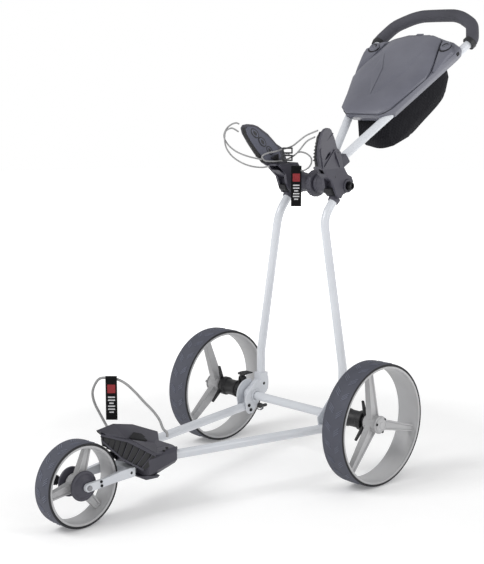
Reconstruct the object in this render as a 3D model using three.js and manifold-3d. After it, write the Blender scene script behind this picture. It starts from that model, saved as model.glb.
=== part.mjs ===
// Three-wheeled golf push cart: a folding aluminium frame with two cradles for a golf bag.
// Millimetres, +Z up, front wheel towards -Y, the pusher's left towards +X.
// The cart is designed with the rear axle over Y = 0, then centred on the ground.
import * as THREE from "three";
import { mergeVertices } from "three/addons/utils/BufferGeometryUtils.js";
import { ConvexGeometry } from "three/addons/geometries/ConvexGeometry.js";
import Module from "manifold-3d";

const wasm = await Module();
wasm.setup();

// ---- Driving dimensions ----
const GAP = 0.3; // between pieces that touch
const RUNNING = 0.4; // radial clearance of a turning joint
const PLAY = 2.5; // side clearance between folding pieces

const REAR_RADIUS = 150;
const REAR_WIDTH = 64.5;
const REAR_TRACK = 539.5; // between the middles of the rear tyres
const FRONT_RADIUS = 96.5;
const FRONT_WIDTH = 51.6;
const WHEELBASE = 684.4;
const TYRE_THICKNESS = 6.3;
const RIM_THICKNESS = 7.2;
const HUB_RADIUS = 21;
const AXLE_RADIUS = 6;

const TUBE_RADIUS = 11;
const TUBE_WALL = 1.6;
const UPRIGHT_SPREAD = 142; // half the distance between the uprights' feet
const UPRIGHT_SETBACK = 35.5; // uprights stand behind the cross tube
const UPRIGHT_TOP_SPREAD = 77;
const FOLD_HEIGHT = 144; // cross tube, the frame's fold axis
const PLATE = 3; // hinge plates
const PLATE_RADIUS = 40;
const FORK_LENGTH = 214.4; // front axle to the ends of the two frame tubes
const APEX_BACK = FORK_LENGTH - WHEELBASE;
const APEX_SPREAD = 51.6;
const APEX_HEIGHT = 123.7;

const HINGE_BACK = 97; // handle hinge axis
const HINGE_HEIGHT = 704;
const HINGE_BARREL = 24.5;
const HINGE_DISC = 33.5;
const BOLT_RADIUS = 5;
const HANDLE_ANGLE = 40.2; // degrees above level
const HANDLE_SPLAY = 0.3064; // sideways per unit along the handle
const GRIP_RADIUS = 17;

const CONSOLE_FOOT = 235; // console's lower edge along the handle
const CONSOLE_HEAD = 554; // and its upper edge
const HANDLE_LENGTH = CONSOLE_HEAD - 13; // hinge to the start of the grip's bend
const GRIP_REACH = CONSOLE_HEAD + 98; // hinge to the middle of the grip
const CONSOLE_DEPTH = 28;
const CONSOLE_WALL = 2.6;
const LID_RISE = 16;
const CAP_RADIUS = 15.5;
const NET_DEPTH = 126;
const NET_WALL = 1.4;

const UPPER_CORD = 4; // cord diameters
const LOWER_CORD = 6;
const TAG = { width: 26, length: 103, thickness: 2.4 };

// ---- Finishes ----
const finish = (color, roughness, metalness) =>
  new THREE.MeshStandardMaterial({ color, roughness, metalness });
const WHITE_PAINT = finish(0xd2d6da, 0.35, 0.2);
const DARK_PLASTIC = finish(0x4a4a53, 0.55, 0);
const CONSOLE_PLASTIC = finish(0x6c6d78, 0.4, 0);
const BLACK_PLASTIC = finish(0x1c1c1f, 0.5, 0);
const RIM_PLASTIC = finish(0xb4b1ae, 0.45, 0.1);
const TYRE_RUBBER = finish(0x4b4d58, 0.8, 0);
const GRIP_FOAM = finish(0x505058, 0.85, 0);
const NET_FABRIC = finish(0x101012, 0.95, 0);
const CORD_FABRIC = finish(0xa8a8a8, 0.8, 0);
const TAG_FABRIC = finish(0x18181a, 0.9, 0);
const STEEL = finish(0x8a8a8e, 0.3, 1);

// ---- Solids and shapes ----
const TUBE_SIDES = 12;
const radians = THREE.MathUtils.degToRad;
const vector = (p) => new THREE.Vector3(...p);

function toSolid(geometry) {
  const bare = geometry.clone();
  bare.deleteAttribute("normal");
  bare.deleteAttribute("uv");
  const merged = mergeVertices(bare, 1e-4);
  return new wasm.Manifold(
    new wasm.Mesh({
      numProp: 3,
      vertProperties: new Float32Array(merged.attributes.position.array),
      triVerts: new Uint32Array(merged.index.array),
    }),
  );
}

function toGeometry(solid) {
  const { vertProperties, triVerts } = solid.getMesh();
  return new THREE.BufferGeometry()
    .setAttribute("position", new THREE.BufferAttribute(vertProperties, 3))
    .setIndex(new THREE.BufferAttribute(triVerts, 1));
}

const join = (...pieces) => toGeometry(pieces.map(toSolid).reduce((a, b) => a.add(b)));
const cut = (piece, ...tools) =>
  toGeometry(tools.map(toSolid).reduce((a, b) => a.subtract(b), toSolid(piece)));

function polygon(radius, sides) {
  const corner = (i) => {
    const angle = (2 * Math.PI * i) / sides;
    return new THREE.Vector2(radius * Math.cos(angle), radius * Math.sin(angle));
  };
  return Array.from({ length: sides }, (_, i) => corner(i));
}

// A curve that puts one ring of a swept tube at each of its stations.
class Stations extends THREE.Curve {
  constructor(points) {
    super();
    this.points = points;
  }
  getPoint(t, target = new THREE.Vector3()) {
    const place = t * (this.points.length - 1);
    const index = Math.min(Math.floor(place), this.points.length - 2);
    return target.lerpVectors(this.points[index], this.points[index + 1], place - index);
  }
  getPointAt(u, target) {
    return this.getPoint(u, target);
  }
  getTangentAt(u, target = new THREE.Vector3()) {
    const last = this.points.length - 1;
    const index = Math.round(u * last);
    const at = (i) => this.points[Math.max(0, Math.min(last, i))];
    const before = at(index).clone().sub(at(index - 1)).normalize();
    const after = at(index + 1).clone().sub(at(index)).normalize();
    return target.copy(before).add(after).normalize();
  }
}

// Corner points joined by straight runs, each corner rounded to its radius.
function rounded(corners, radii, arcSteps) {
  const points = corners.map(vector);
  const route = [points[0]];
  for (let i = 1; i < points.length - 1; i++) {
    const inward = points[i - 1].clone().sub(points[i]).normalize();
    const outward = points[i + 1].clone().sub(points[i]).normalize();
    const turn = Math.PI - inward.angleTo(outward);
    const trim = radii[i - 1] * Math.tan(turn / 2);
    const start = points[i].clone().addScaledVector(inward, trim);
    const end = points[i].clone().addScaledVector(outward, trim);
    const towards = inward.clone().add(outward).normalize();
    const middle = points[i].clone().addScaledVector(towards, radii[i - 1] / Math.cos(turn / 2));
    const from = start.clone().sub(middle);
    const to = end.clone().sub(middle);
    for (let k = 0; k <= arcSteps[i - 1]; k++) {
      const part = k / arcSteps[i - 1];
      const weightFrom = Math.sin((1 - part) * turn) / Math.sin(turn);
      const weightTo = Math.sin(part * turn) / Math.sin(turn);
      route.push(
        middle.clone().addScaledVector(from, weightFrom).addScaledVector(to, weightTo),
      );
    }
  }
  route.push(points.at(-1));
  return route;
}

function sweep(stations, radius, sides, bore = 0) {
  const section = new THREE.Shape(polygon(radius, sides));
  if (bore) section.holes.push(new THREE.Path(polygon(bore, sides).reverse()));
  return new THREE.ExtrudeGeometry(section, {
    steps: stations.length - 1,
    extrudePath: new Stations(stations),
  });
}

const frameTube = (stations) => sweep(stations, TUBE_RADIUS, TUBE_SIDES, TUBE_RADIUS - TUBE_WALL);

// A solid turned about the X axis. The profile lists [radius, x] with x rising on the outside.
function turned(profile, sides) {
  const points = profile.map(([radius, x]) => new THREE.Vector2(radius, x));
  return new THREE.LatheGeometry(points, sides).rotateZ(-Math.PI / 2);
}
const turnedRing = (profile, sides) => turned([...profile, profile[0]], sides);

const rod = (from, to, radius, sides = 16) =>
  turned(
    [
      [0, from],
      [radius, from],
      [radius, to],
      [0, to],
    ],
    sides,
  );

// A plate drawn in Y and Z and given its thickness along X.
const SIDEWAYS = new THREE.Matrix4().makeBasis(vector([0, 1, 0]), vector([0, 0, 1]), vector([1, 0, 0]));
function sidePlate(shape, from, to) {
  const plate = new THREE.ExtrudeGeometry(shape, {
    depth: to - from,
    bevelEnabled: false,
    curveSegments: 10,
  });
  return plate.applyMatrix4(SIDEWAYS).translate(from, 0, 0);
}

const outline = (points) => new THREE.Shape(points.map(([a, b]) => new THREE.Vector2(a, b)));
const hull = (points) => new ConvexGeometry(points.map(vector));
const box = (low, high) =>
  new THREE.BoxGeometry(...high.map((h, i) => h - low[i])).translate(
    ...high.map((h, i) => (h + low[i]) / 2),
  );
const mirroredPoints = (points) => points.flatMap(([x, y, z]) => [[x, y, z], [-x, y, z]]);

function add(group, name, geometry, material) {
  const mesh = new THREE.Mesh(geometry, material);
  mesh.name = name;
  group.add(mesh);
  return mesh;
}

// ---- The frame's groups: everything on the right is the left turned over ----
const cart = new THREE.Group();
const SIDES = ["left", "right"].map((side) => {
  const group = new THREE.Group();
  group.scale.x = side === "left" ? 1 : -1;
  cart.add(group);
  return { side, group };
});
const onBothSides = (name, geometry, material) =>
  SIDES.forEach(({ side, group }) => add(group, `${name}_${side}`, geometry, material));

// ---- Wheels ----
const SPOKE_TIP = 8;

function tyre(radius, width, sides) {
  const inside = radius - TYRE_THICKNESS;
  const edge = width / 2;
  const half = [
    [inside, edge - 1],
    [radius - 3, edge],
    [radius, edge - 7],
  ];
  const other = half.map(([r, x]) => [r, -x]);
  return turnedRing([...other, ...half.reverse()], sides);
}

// Spokes run from the hub to the rim; hub, foot and tip are [from, to] along the axle.
function rim({ radius, width, sides, spokeAngles, hub, foot, tip, hubRadius, spokeWidth }) {
  const outside = radius - TYRE_THICKNESS - GAP;
  const inside = outside - RIM_THICKNESS;
  const edge = width / 2 - 1.5;
  const ring = turnedRing(
    [
      [inside + 1.5, -edge],
      [outside, -edge],
      [outside, edge],
      [inside + 1.5, edge],
      [inside, edge - 7],
      [inside, 7 - edge],
    ],
    sides,
  );
  const spokes = spokeAngles.map((angle) =>
    hull(
      [-1, 1].flatMap((s) => [
        ...foot.map((x) => [x, hubRadius / 2, (s * spokeWidth) / 2]),
        ...tip.map((x) => [x, inside + 2.5, s * SPOKE_TIP]),
      ]),
    ).rotateX(radians(angle)),
  );
  const core = rod(...hub, hubRadius, 28);
  const bore = rod(hub[0] - 1, hub[1] + 1, AXLE_RADIUS + RUNNING);
  return cut(join(ring, core, ...spokes), bore);
}

const REAR_SPOKES = [-15, 105, 225];
const FRONT_SPOKES = [70, 190, 310];
const STAR_THICKNESS = 5.7;
const REAR_HUB = [-17, 20.25];
const CAP_LENGTH = 9;
const rearCentre = [REAR_TRACK / 2, 0, REAR_RADIUS];

function rearWheels() {
  const tyreBody = tyre(REAR_RADIUS, REAR_WIDTH, 40);
  const rimBody = rim({
    radius: REAR_RADIUS,
    width: REAR_WIDTH,
    sides: 40,
    spokeAngles: REAR_SPOKES,
    hub: REAR_HUB,
    foot: [-7, 11],
    tip: [7, 21],
    hubRadius: HUB_RADIUS,
    spokeWidth: 27,
  });
  const capFace = REAR_HUB[1] + GAP;
  const cap = turned(
    [
      [0, capFace],
      [HUB_RADIUS + 1, capFace],
      [HUB_RADIUS + 1, capFace + 3],
      [HUB_RADIUS - 3, capFace + CAP_LENGTH - 2],
      [HUB_RADIUS - 8, capFace + CAP_LENGTH],
      [0, capFace + CAP_LENGTH],
    ],
    28,
  );
  const starFace = REAR_HUB[0] - GAP;
  const starBlades = REAR_SPOKES.map((angle) =>
    hull(
      [starFace, starFace - STAR_THICKNESS].flatMap((x) => [
        [x, 10, 6],
        [x, 10, -6],
        [x, 56, 2.4],
        [x, 56, -2.4],
      ]),
    ).rotateX(radians(angle)),
  );
  const starHub = rod(starFace - STAR_THICKNESS, starFace, 17, 24);
  const starBore = rod(starFace - 10, starFace + 1, AXLE_RADIUS + RUNNING);
  const star = cut(join(starHub, ...starBlades), starBore);
  const parts = {
    tyre: [tyreBody, TYRE_RUBBER],
    rim: [rimBody, RIM_PLASTIC],
    hub_cap: [cap, RIM_PLASTIC],
    wheel_star: [star, BLACK_PLASTIC],
  };
  for (const [name, [geometry, material]] of Object.entries(parts))
    onBothSides(name, geometry.translate(...rearCentre), material);
}

const FRONT_HUB = 18;

function frontWheel() {
  const wheel = new THREE.Group();
  wheel.position.set(0, -WHEELBASE, FRONT_RADIUS);
  cart.add(wheel);
  add(wheel, "tyre_front", tyre(FRONT_RADIUS, FRONT_WIDTH, 32), TYRE_RUBBER);
  const body = rim({
    radius: FRONT_RADIUS,
    width: FRONT_WIDTH,
    sides: 32,
    spokeAngles: FRONT_SPOKES,
    hub: [-FRONT_HUB, FRONT_HUB],
    foot: [-9, 9],
    tip: [-6, 6],
    hubRadius: HUB_RADIUS,
    spokeWidth: 24,
  });
  add(wheel, "rim_front", body, RIM_PLASTIC);
}

// ---- Rear axle: housings, stub axles and the brake ----
const INNER_PLATE = UPRIGHT_SPREAD - TUBE_RADIUS - PLAY; // face towards the upright
const OUTER_PLATE = UPRIGHT_SPREAD + TUBE_RADIUS + PLAY;
const HOUSING_FROM = OUTER_PLATE + PLATE + GAP;
const HOUSING_TO = REAR_TRACK / 2 + REAR_HUB[0] - GAP - STAR_THICKNESS - 1;
const AXLE_FROM = HOUSING_FROM + 12;
const AXLE_TO = REAR_TRACK / 2 + REAR_HUB[1] - 2;
const BRAKE_PIVOT = [0, REAR_RADIUS + 33];
const BRAKE_LUG = [HOUSING_FROM + 9.2, HOUSING_FROM + 25.2];

function rearAxle() {
  const bore = AXLE_RADIUS + GAP;
  const housing = turnedRing(
    [
      [bore, HOUSING_FROM],
      [25, HOUSING_FROM],
      [25, HOUSING_FROM + 7],
      [19.5, HOUSING_FROM + 10],
      [19.5, HOUSING_FROM + 30],
      [24, HOUSING_FROM + 32],
      [20.5, HOUSING_FROM + 40],
      [20.5, HOUSING_TO - 16],
      [24, HOUSING_TO - 13],
      [24, HOUSING_TO],
      [bore, HOUSING_TO],
    ],
    24,
  ).translate(0, 0, REAR_RADIUS);
  const [lugFrom, lugTo] = BRAKE_LUG;
  const lug = hull(
    [lugFrom, lugTo].flatMap((x) => [
      [x, -11, REAR_RADIUS + 14],
      [x, 11, REAR_RADIUS + 14],
      [x, -6, BRAKE_PIVOT[1] + 5],
      [x, 6, BRAKE_PIVOT[1] + 5],
    ]),
  );
  const slot = box([lugFrom + 4.5, -30, BRAKE_PIVOT[1] - 11], [lugTo - 4.5, 30, BRAKE_PIVOT[1] + 20]);
  onBothSides("axle_housing", housing, BLACK_PLASTIC);
  const right = SIDES[1].group;
  const braked = cut(join(housing, lug), slot);
  right.getObjectByName("axle_housing_right").geometry = braked;
  const axle = rod(AXLE_FROM, AXLE_TO, AXLE_RADIUS, 20).translate(0, 0, REAR_RADIUS);
  onBothSides("stub_axle", axle, STEEL);

  const [leverFrom, leverTo] = [lugFrom + 4.5 + PLAY / 4, lugTo - 4.5 - PLAY / 4];
  const [pivotY, pivotZ] = BRAKE_PIVOT;
  const neck = hull(
    [leverFrom, leverTo].flatMap((x) => [
      [x, pivotY - 6, pivotZ - 4],
      [x, pivotY + 6, pivotZ - 4],
      [x, pivotY - 6, pivotZ + 16],
      [x, pivotY + 6, pivotZ + 16],
    ]),
  );
  const pedal = hull([
    [leverFrom - 12, pivotY - 8, pivotZ + 8],
    [leverTo + 6, pivotY - 8, pivotZ + 8],
    [leverFrom - 12, pivotY - 8, pivotZ + 16],
    [leverTo + 6, pivotY - 8, pivotZ + 16],
    [leverFrom - 12, pivotY + 24, pivotZ + 11],
    [leverTo + 6, pivotY + 24, pivotZ + 11],
    [leverFrom - 12, pivotY + 24, pivotZ + 16],
    [leverTo + 6, pivotY + 24, pivotZ + 16],
  ]);
  add(right, "brake_lever", join(neck, pedal), BLACK_PLASTIC);
}

// ---- Lower frame: cross tube, V tubes and the fold hinge ----
const V_TUBE_BACK = -16;
const V_TUBE_BEND = -28;
const V_TUBE_HEIGHT = 116.3;
const LATCH_PIVOT = [10, FOLD_HEIGHT - 28];

function lowerFrame() {
  const crossEnd = OUTER_PLATE - GAP;
  const cross = frameTube([vector([-crossEnd, 0, FOLD_HEIGHT]), vector([crossEnd, 0, FOLD_HEIGHT])]);
  add(cart, "cross_tube", cross, WHITE_PAINT);

  const runway = rounded(
    [
      [UPRIGHT_SPREAD, V_TUBE_BACK, V_TUBE_HEIGHT],
      [UPRIGHT_SPREAD, V_TUBE_BEND, V_TUBE_HEIGHT],
      [APEX_SPREAD, APEX_BACK, APEX_HEIGHT],
    ],
    [60],
    [2],
  );
  onBothSides("v_tube", frameTube(runway), WHITE_PAINT);

  const plate = (chord) => {
    const shape = new THREE.Shape();
    shape.moveTo(-14, FOLD_HEIGHT - 45);
    shape.lineTo(-27, FOLD_HEIGHT - 44);
    shape.lineTo(-36, FOLD_HEIGHT - 33);
    shape.absarc(0, FOLD_HEIGHT, PLATE_RADIUS, radians(202), radians(chord[0]), true);
    shape.absarc(0, FOLD_HEIGHT, PLATE_RADIUS, radians(chord[1]), radians(70), true);
    shape.lineTo(19, FOLD_HEIGHT + 12);
    shape.absarc(0, FOLD_HEIGHT, 21, radians(25), radians(-60), true);
    return shape;
  };
  const hole = new THREE.Path(
    polygon(TUBE_RADIUS + GAP, 20).map((p) => p.add(new THREE.Vector2(0, FOLD_HEIGHT))),
  );
  const inner = plate([180, 86]);
  inner.holes.push(hole);
  onBothSides("hinge_plate_inner", sidePlate(inner, INNER_PLATE - PLATE, INNER_PLATE), WHITE_PAINT);
  onBothSides("hinge_plate_outer", sidePlate(plate([140, 138]), OUTER_PLATE, OUTER_PLATE + PLATE), WHITE_PAINT);

  const leverFace = -(INNER_PLATE - PLATE - GAP);
  const boss = rod(leverFace, leverFace + 8, 7, 16).translate(0, LATCH_PIVOT[0], LATCH_PIVOT[1]);
  const tail = hull(
    [leverFace + 1, leverFace + 7].flatMap((x) => [
      [x, LATCH_PIVOT[0], LATCH_PIVOT[1] + 6],
      [x, LATCH_PIVOT[0], LATCH_PIVOT[1] - 6],
      [x, LATCH_PIVOT[0] + 24, LATCH_PIVOT[1] + 1],
      [x, LATCH_PIVOT[0] + 24, LATCH_PIVOT[1] - 5],
    ]),
  );
  add(cart, "fold_latch_lever", join(boss, tail), BLACK_PLASTIC);
}

// ---- Uprights, their feet and the upper cradle ----
const BOLT_PLACE = [34, FOLD_HEIGHT + 26];
const UPRIGHT_FROM = FOLD_HEIGHT + 36;
const SOCKET_TOP = UPRIGHT_FROM + 20;
const CURVE_HEIGHT = 627; // where the uprights begin to lean back
const LEAN = 41; // degrees
const STUB = 62; // length after the bend

function uprightRoute() {
  const straightTop = [UPRIGHT_TOP_SPREAD, UPRIGHT_SETBACK - 4, CURVE_HEIGHT];
  const lean = radians(LEAN);
  const end = [
    UPRIGHT_TOP_SPREAD,
    straightTop[1] + STUB * Math.sin(lean),
    CURVE_HEIGHT + STUB * Math.cos(lean),
  ];
  const corners = [
    [UPRIGHT_SPREAD, UPRIGHT_SETBACK, UPRIGHT_FROM],
    [UPRIGHT_SPREAD, UPRIGHT_SETBACK, 256],
    straightTop,
    end,
  ];
  return rounded(corners, [120, 75], [2, 4]);
}

function uprights() {
  onBothSides("upright", frameTube(uprightRoute()), WHITE_PAINT);

  const half = TUBE_RADIUS + PLAY - 0.8;
  const [from, to] = [UPRIGHT_SPREAD - half, UPRIGHT_SPREAD + half];
  const shell = TUBE_RADIUS + 2;
  const disc = rod(from, to, 18, 24).translate(0, 0, FOLD_HEIGHT);
  const web = sidePlate(
    outline([
      [-6, FOLD_HEIGHT + 16.5],
      [10, FOLD_HEIGHT - 14],
      [UPRIGHT_SETBACK + shell, FOLD_HEIGHT + 6],
      [UPRIGHT_SETBACK + shell + 3, FOLD_HEIGHT + 30],
      [UPRIGHT_SETBACK + shell, FOLD_HEIGHT + 44],
      [UPRIGHT_SETBACK + shell, SOCKET_TOP],
      [UPRIGHT_SETBACK - shell, SOCKET_TOP],
      [UPRIGHT_SETBACK - shell, FOLD_HEIGHT + 34],
    ]),
    from,
    to,
  );
  const socket = new THREE.CylinderGeometry(TUBE_RADIUS + GAP, TUBE_RADIUS + GAP, 30, 20)
    .rotateX(Math.PI / 2)
    .translate(UPRIGHT_SPREAD, UPRIGHT_SETBACK, UPRIGHT_FROM + 15 - GAP);
  const pivotBore = rod(from - 1, to + 1, TUBE_RADIUS + RUNNING, 20).translate(0, 0, FOLD_HEIGHT);
  const boltBore = rod(from - 1, to + 1, 3.2 + GAP, 12).translate(0, ...BOLT_PLACE);
  onBothSides("upright_foot", cut(join(disc, web), socket, pivotBore, boltBore), WHITE_PAINT);
  const bolt = rod(from - 0.5, to + 0.5, 3.2, 12).translate(0, ...BOLT_PLACE);
  onBothSides("foot_bolt", bolt, BLACK_PLASTIC);
}

const DISC_FROM = -18;
const DISC_TO = 2;
const BLOCK_FROM = 60;
const BLOCK_TO = 97;
const BLOCK_TOP = 754;

function upperBracket() {
  const block = sidePlate(
    outline([
      [50, HINGE_HEIGHT - 14],
      [58, HINGE_HEIGHT - 28],
      [80, HINGE_HEIGHT - 21],
      [107, HINGE_HEIGHT - 13],
      [120, HINGE_HEIGHT + 8],
      [106, HINGE_HEIGHT + 34],
      [86, BLOCK_TOP],
      [14, BLOCK_TOP],
      [38, HINGE_HEIGHT + 24],
    ]),
    BLOCK_FROM,
    BLOCK_TO,
  );
  const route = uprightRoute();
  const end = route.at(-1);
  const leaning = vector([0, Math.sin(radians(LEAN)), Math.cos(radians(LEAN))]);
  const socketEnds = [-60, GAP].map((step) => end.clone().addScaledVector(leaning, step));
  const socket = sweep(socketEnds, TUBE_RADIUS + GAP, TUBE_SIDES);
  SIDES.forEach(({ side, group }) => {
    const inner = side === "left" ? DISC_TO + GAP : -DISC_FROM + GAP;
    const barrel = rod(inner, BLOCK_FROM + 2, HINGE_BARREL, 24).translate(0, HINGE_BACK, HINGE_HEIGHT);
    const bore = rod(-200, 200, BOLT_RADIUS + RUNNING, 16).translate(0, HINGE_BACK, HINGE_HEIGHT);
    const body = cut(join(block, barrel), socket, bore);
    add(group, `upper_bracket_${side}`, body, DARK_PLASTIC);
  });
  const shank = rod(-BLOCK_TO - 5, BLOCK_TO + 1, BOLT_RADIUS, 16);
  const head = rod(BLOCK_TO + GAP, BLOCK_TO + 16, 10, 20);
  const bolt = join(shank, head).translate(0, HINGE_BACK, HINGE_HEIGHT);
  add(cart, "hinge_bolt", bolt, BLACK_PLASTIC);

  const outer = [
    [142, -44, 850],
    [142, -15, 846],
    [112, 52, 792],
    [97, 80, 745],
    [94, -6, 745],
    [123, -40, 806],
  ];
  const thickness = [-11.5, -4, 4.5];
  const inner = outer.map((p) => p.map((c, i) => c + thickness[i]));
  const floor = box([40, -60, 700], [140, 130, BLOCK_TOP + GAP]);
  const window = sidePlate(
    outline([
      [28, 778],
      [44, 790],
      [36, 812],
      [22, 800],
    ]),
    60,
    150,
  );
  onBothSides("cradle_arm", cut(hull([...outer, ...inner]), floor, window), DARK_PLASTIC);
}

// ---- Lower cradle, front casting and fork ----
const FORK_SPREAD = 39; // middle of each fork arm
const FORK_BACK = APEX_BACK - 101;
const NOSE = [-156, 205];

function lowerCradle() {
  const sleeves = [1, -1].map((s) =>
    hull(
      [
        [72, 16, 136], [72, 16, 117], [62, 20, 144], [62, 20, 107],
        [40, 30, 142], [40, 30, 105], [60, -58, 128], [60, -58, 94],
        [50, -64, 136], [50, -64, 89], [10, -64, 136], [10, -64, 89],
        [48, -30, 85], [10, -30, 85],
      ].map(([x, y, z]) => [s * x, y, z]),
    ),
  );
  const web = hull(
    mirroredPoints([
      [12, -64, 89],
      [12, -64, 138],
      [12, -30, 85],
      [42, 30, 142],
      [42, 30, 107],
    ]),
  );
  const wing = (points) =>
    hull([...points, ...points.map(([x, y, z]) => [x, y + 2, z - 6])]);
  const keelFront = [0, -136, 184];
  const keelMiddle = [0, -60, 150];
  const keelBack = [0, 24, 134];
  const lowWing = [
    [18, ...NOSE],
    [45, -104, 184],
    [62, -36, 138],
    [66, 8, 136],
  ];
  const highWing = [
    [-2, ...NOSE],
    [-36, -82, 200],
    [-60, 4, 173],
    [-54, 58, 146],
  ];
  const wings = [lowWing, highWing].flatMap(([nose, front, middle, back]) => [
    wing([keelFront, nose, front, keelMiddle]),
    wing([keelMiddle, front, middle, keelBack]),
    wing([keelBack, middle, back]),
  ]);
  const keel = hull(
    mirroredPoints([
      [10, -142, 188],
      [10, -136, 178],
      [22, -64, 112],
      [12, -30, 146],
    ]),
  );
  const sockets = [1, -1].map((s) =>
    sweep(
      [
        vector([s * UPRIGHT_SPREAD, V_TUBE_BEND, V_TUBE_HEIGHT]),
        vector([s * APEX_SPREAD, APEX_BACK, APEX_HEIGHT]),
        vector([s * (APEX_SPREAD - 2), APEX_BACK - 6, APEX_HEIGHT]),
      ],
      TUBE_RADIUS + GAP + 0.2,
      TUBE_SIDES,
    ),
  );
  const pocket = box([-26, -42, 60], [26, 40, 128]);
  const solid = cut(join(web, ...sleeves, keel, ...wings), pocket).translate(0, APEX_BACK, 0);
  const body = cut(solid, ...sockets);
  add(cart, "lower_cradle", body, DARK_PLASTIC);

  const casting = hull(
    mirroredPoints([
      [24, APEX_BACK - 64.3, 108],
      [24, APEX_BACK - 64.3, 92],
      [33.5, FORK_BACK, 114],
      [33.5, FORK_BACK, 94],
      [33.5, FORK_BACK + 14, 114],
      [33.5, FORK_BACK + 14, 94],
    ]),
  );
  add(cart, "front_casting", casting, WHITE_PAINT);

  const armFrom = FORK_SPREAD - 5;
  const armTo = FORK_SPREAD + 5;
  const arm = sidePlate(
    outline([
      [-WHEELBASE - 8, FRONT_RADIUS - 9],
      [FORK_BACK + 16, 93],
      [FORK_BACK + 16, 115],
      [-WHEELBASE - 8, FRONT_RADIUS + 9],
    ]),
    armFrom,
    armTo,
  );
  const axleBore = rod(armFrom - 1, armTo + 1, AXLE_RADIUS + GAP, 20).translate(0, -WHEELBASE, FRONT_RADIUS);
  onBothSides("fork_arm", cut(arm, axleBore), WHITE_PAINT);

  const axle = rod(-armTo - 3, armTo + 3, AXLE_RADIUS, 20).translate(0, -WHEELBASE, FRONT_RADIUS);
  add(cart, "front_axle", axle, STEEL);
  const coverFrom = FRONT_HUB + 1;
  const coverTo = armFrom - GAP;
  const cover = turnedRing(
    [
      [AXLE_RADIUS + GAP, coverFrom],
      [34, coverFrom],
      [34, coverFrom + 6],
      [26, coverFrom + 10],
      [18, coverTo],
      [AXLE_RADIUS + GAP, coverTo],
    ],
    22,
  ).translate(0, -WHEELBASE, FRONT_RADIUS);
  onBothSides("axle_cover", cover, DARK_PLASTIC);

  const knobFrom = armTo + GAP;
  const knob = rod(knobFrom, knobFrom + 12, 11, 18).translate(0, -WHEELBASE - 22, FRONT_RADIUS + 2);
  add(SIDES[1].group, "tracking_knob", knob, BLACK_PLASTIC);
}

// ---- Handle: laid out along its own length, then tipped up about the hinge ----
const handle = new THREE.Group();
handle.position.set(0, HINGE_BACK, HINGE_HEIGHT);
handle.rotation.x = radians(HANDLE_ANGLE);
cart.add(handle);
const TUBE_CROSSING = 42; // where the tubes' middles would meet
const splay = (along) => (along - TUBE_CROSSING) * HANDLE_SPLAY;
const TUBES_FROM = 84;

function handleRoute(s) {
  const bend = HANDLE_LENGTH + 14.5;
  const corners = [
    [s * splay(TUBES_FROM), TUBES_FROM, 0],
    [s * splay(bend), bend, 0],
    [s * 130, GRIP_REACH - 42, 8],
    [s * 74, GRIP_REACH - 9, 12],
    [s * 26, GRIP_REACH, 13],
    [s * GAP, GRIP_REACH, 13],
  ];
  return rounded(corners, [34, 60, 120, 100], [3, 3, 1, 1]);
}

function handleFrame() {
  const disc = rod(DISC_FROM, DISC_TO, HINGE_DISC, 32);
  const neck = hull([
    [DISC_FROM, 10, -15],
    [DISC_TO, 10, -15],
    [DISC_FROM, 10, 15],
    [DISC_TO, 10, 15],
    [DISC_FROM, 40, -14],
    [DISC_TO, 40, -14],
    [DISC_FROM, 40, 14],
    [DISC_TO, 40, 14],
  ]);
  const yoke = hull(
    [-14, 14].flatMap((z) => [
      [-22, 38, z],
      [20, 38, z],
      [-34, 98, z],
      [34, 98, z],
    ]),
  );
  const bores = [1, -1].map((s) => {
    const reach = (along) => vector([s * splay(along), along, 0]);
    return sweep([reach(TUBES_FROM - GAP), reach(TUBES_FROM + 60)], TUBE_RADIUS + GAP, TUBE_SIDES);
  });
  const bolt = rod(-60, 60, BOLT_RADIUS + RUNNING, 16);
  add(handle, "handle_knuckle", cut(join(disc, neck, yoke), ...bores, bolt), DARK_PLASTIC);

  for (const [side, s] of [
    ["left", 1],
    ["right", -1],
  ])
    add(handle, `handle_tube_${side}`, frameTube(handleRoute(s)), WHITE_PAINT);

  const start = vector([splay(HANDLE_LENGTH), HANDLE_LENGTH, 0]);
  const leftRoute = handleRoute(1).filter((p) => p.y > HANDLE_LENGTH + 1);
  const rightRoute = leftRoute
    .slice(0, -1)
    .map((p) => vector([-p.x, p.y, p.z]))
    .reverse();
  const grip = [start, ...leftRoute.slice(0, -1), vector([0, GRIP_REACH, 13]), ...rightRoute];
  grip.push(vector([-start.x, start.y, start.z]));
  const sleeve = sweep(grip, GRIP_RADIUS, TUBE_SIDES, TUBE_RADIUS + GAP + 0.2);
  add(handle, "handle_grip", sleeve, GRIP_FOAM);
}

// ---- Console, lid and net pocket, all on the handle ----
const CONSOLE_BASE = -8; // underside, relative to the tubes' middles
const CONSOLE_TOP = CONSOLE_BASE + CONSOLE_DEPTH;
const CONSOLE_OVERHANG = 15; // past the middle of each tube

function consoleOutline(inset = 0) {
  const foot = CONSOLE_FOOT + inset;
  const head = CONSOLE_HEAD - inset;
  const side = (along) => splay(along) + CONSOLE_OVERHANG + 6 - inset;
  const right = [
    [56 - inset, foot],
    [side(262), 262],
    [side(483), 483],
    [126 - inset, 522 - inset],
    [92 - inset, 533 - inset],
    [40, head],
  ];
  const left = right.map(([x, y]) => [-x, y]).reverse();
  return [...right, ...left];
}

const LID_EDGE = [
  [54, CONSOLE_FOOT + 2],
  [80, 260],
  [122, 376],
  [116, 430],
  [84, 528],
  [36, CONSOLE_HEAD - 5],
];
const LATCH_HALF = 12;

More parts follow.
